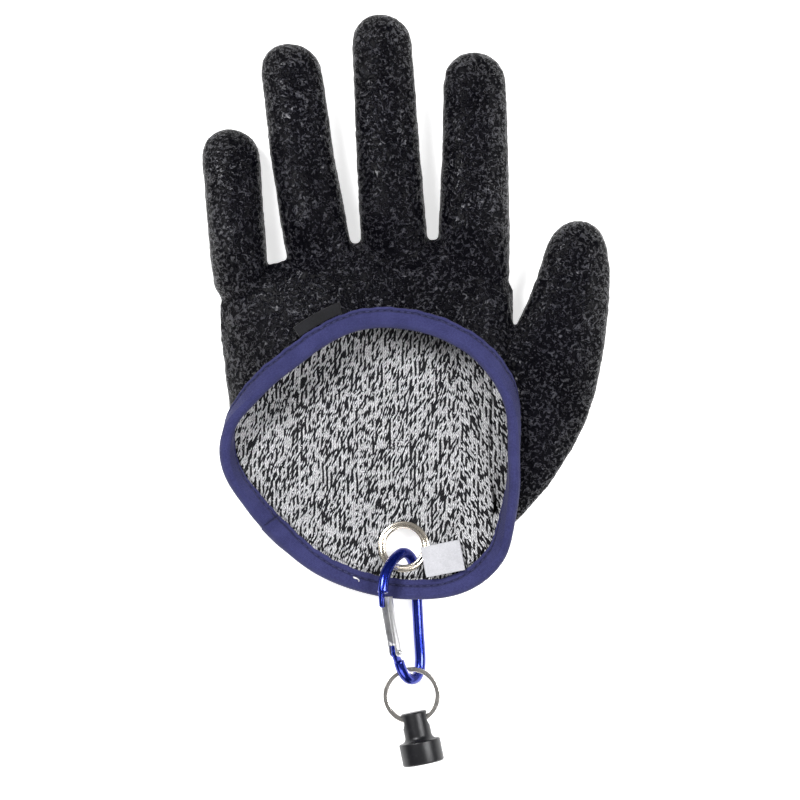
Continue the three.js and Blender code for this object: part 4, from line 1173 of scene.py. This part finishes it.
head_side = [
    (HEAD_RADIUS - 0.2, shoulder + 0.05), (HEAD_RADIUS, shoulder + 0.35), (HEAD_RADIUS, MAGNET_LENGTH - 0.5),
    (HEAD_RADIUS - 0.5, MAGNET_LENGTH), (SOCKET_RADIUS, MAGNET_LENGTH),
    (SOCKET_RADIUS, MAGNET_LENGTH - SOCKET_DEPTH), (0, MAGNET_LENGTH - SOCKET_DEPTH),
]
magnet_corners = [0, 0.14, 0.14] + [0] * len(flare) + [0.1, 0.2, 0.14, 0.14, 0.1, 0.1, 0]
magnet_profile = round_corners(neck_end + flare + head_side, magnet_corners, 3)
magnet_mesh = turned("magnet_head", magnet_profile, 112, Matrix.Identity(4), 40)
magnet_holder = add_object("magnet_holder", magnet_mesh)
bm = bmesh.new()
across_neck = placed((0, 0, CROSS_HOLE_UP), ("Y", 90.0))
bmesh.ops.create_cone(bm, cap_ends=True, cap_tris=False, segments=48, radius1=CROSS_HOLE * MM,
                      radius2=CROSS_HOLE * MM, depth=30 * MM, matrix=across_neck)
drill = add_object("drill", mesh_from(bm, "drill"))
cut = magnet_holder.modifiers.new("cross_hole", "BOOLEAN")
cut.object = drill
cut.solver = "EXACT"
cut_holder = magnet_holder.evaluated_get(bpy.context.evaluated_depsgraph_get())
magnet_cut = bpy.data.meshes.new_from_object(cut_holder)
for temporary in (magnet_holder, drill):
    bpy.data.objects.remove(temporary)
magnet_cut.transform(magnet_place)
bm = bmesh.new()
bm.from_mesh(magnet_cut)
show("magnet_head", mesh_from(bm, "magnet_head", 38), black_anodised, ["magnet_body"])
disc_place = magnet_place @ placed((0, 0, MAGNET_LENGTH - DISC_SUNK - DISC_HEIGHT))
disc_profile = round_corners([(0, 0), (DISC_RADIUS, 0), (DISC_RADIUS, DISC_HEIGHT), (0, DISC_HEIGHT)],
                             [0, 0.15, 0.2, 0], 3)
disc_mesh = turned("magnet_insert", disc_profile, 72, disc_place, 50)
show("magnet_insert", disc_mesh, disc_steel, ["magnet_disc"])

# ---- Stage and light ----
floor_mesh = bpy.data.meshes.new("studio_floor")
bm = bmesh.new()
bmesh.ops.create_grid(bm, x_segments=1, y_segments=1, size=3.0)
bm.to_mesh(floor_mesh)
bm.free()
floor = add_object("studio_floor", floor_mesh)
floor_look, look, shader = finish_material("pale_floor", (0.82, 0.82, 0.82), 0.85, Specular_IOR_Level=0.2)
shader["Emission Color"].default_value = (1, 1, 1, 1)
shader["Emission Strength"].default_value = 0.7
floor_mesh.materials.append(floor_look)

world = bpy.data.worlds.new("soft_room")
bpy.context.scene.world = world
world.use_nodes = True
world_look = Look(world.node_tree)
background = world.node_tree.nodes["Background"]
towards = world_look.add("ShaderNodeTexCoord").outputs["Generated"]
height = world_look.add("ShaderNodeSeparateXYZ", {0: towards}).outputs["Z"]
sky = world_look.mix(world_look.ramp(height, 0.05, 0.95), (0.05, 0.05, 0.055, 1), (1, 1, 1, 1))
world_look.put(background.inputs["Color"], sky)
background.inputs["Strength"].default_value = 0.24


def softbox(name, place, aim, size, power):
    """An area light of a size in metres that looks at a point."""
    data = bpy.data.lights.new(name, "AREA")
    data.shape = "RECTANGLE"
    data.size, data.size_y = size
    data.energy = power
    light = add_object(name, data)
    light.location = place
    light.rotation_euler = (Vector(aim) - Vector(place)).to_track_quat("-Z", "Y").to_euler()


softbox("overhead_left", (-0.75, 0.65, 1.25), (0, 0, 0), (0.55, 0.55), 29.0)
softbox("overhead_right", (0.95, 0.1, 1.2), (0, 0, 0), (0.35, 0.8), 19.0)
softbox("front_fill", (0.0, -1.3, 0.9), (0, 0, 0), (1.2, 0.6), 10.0)
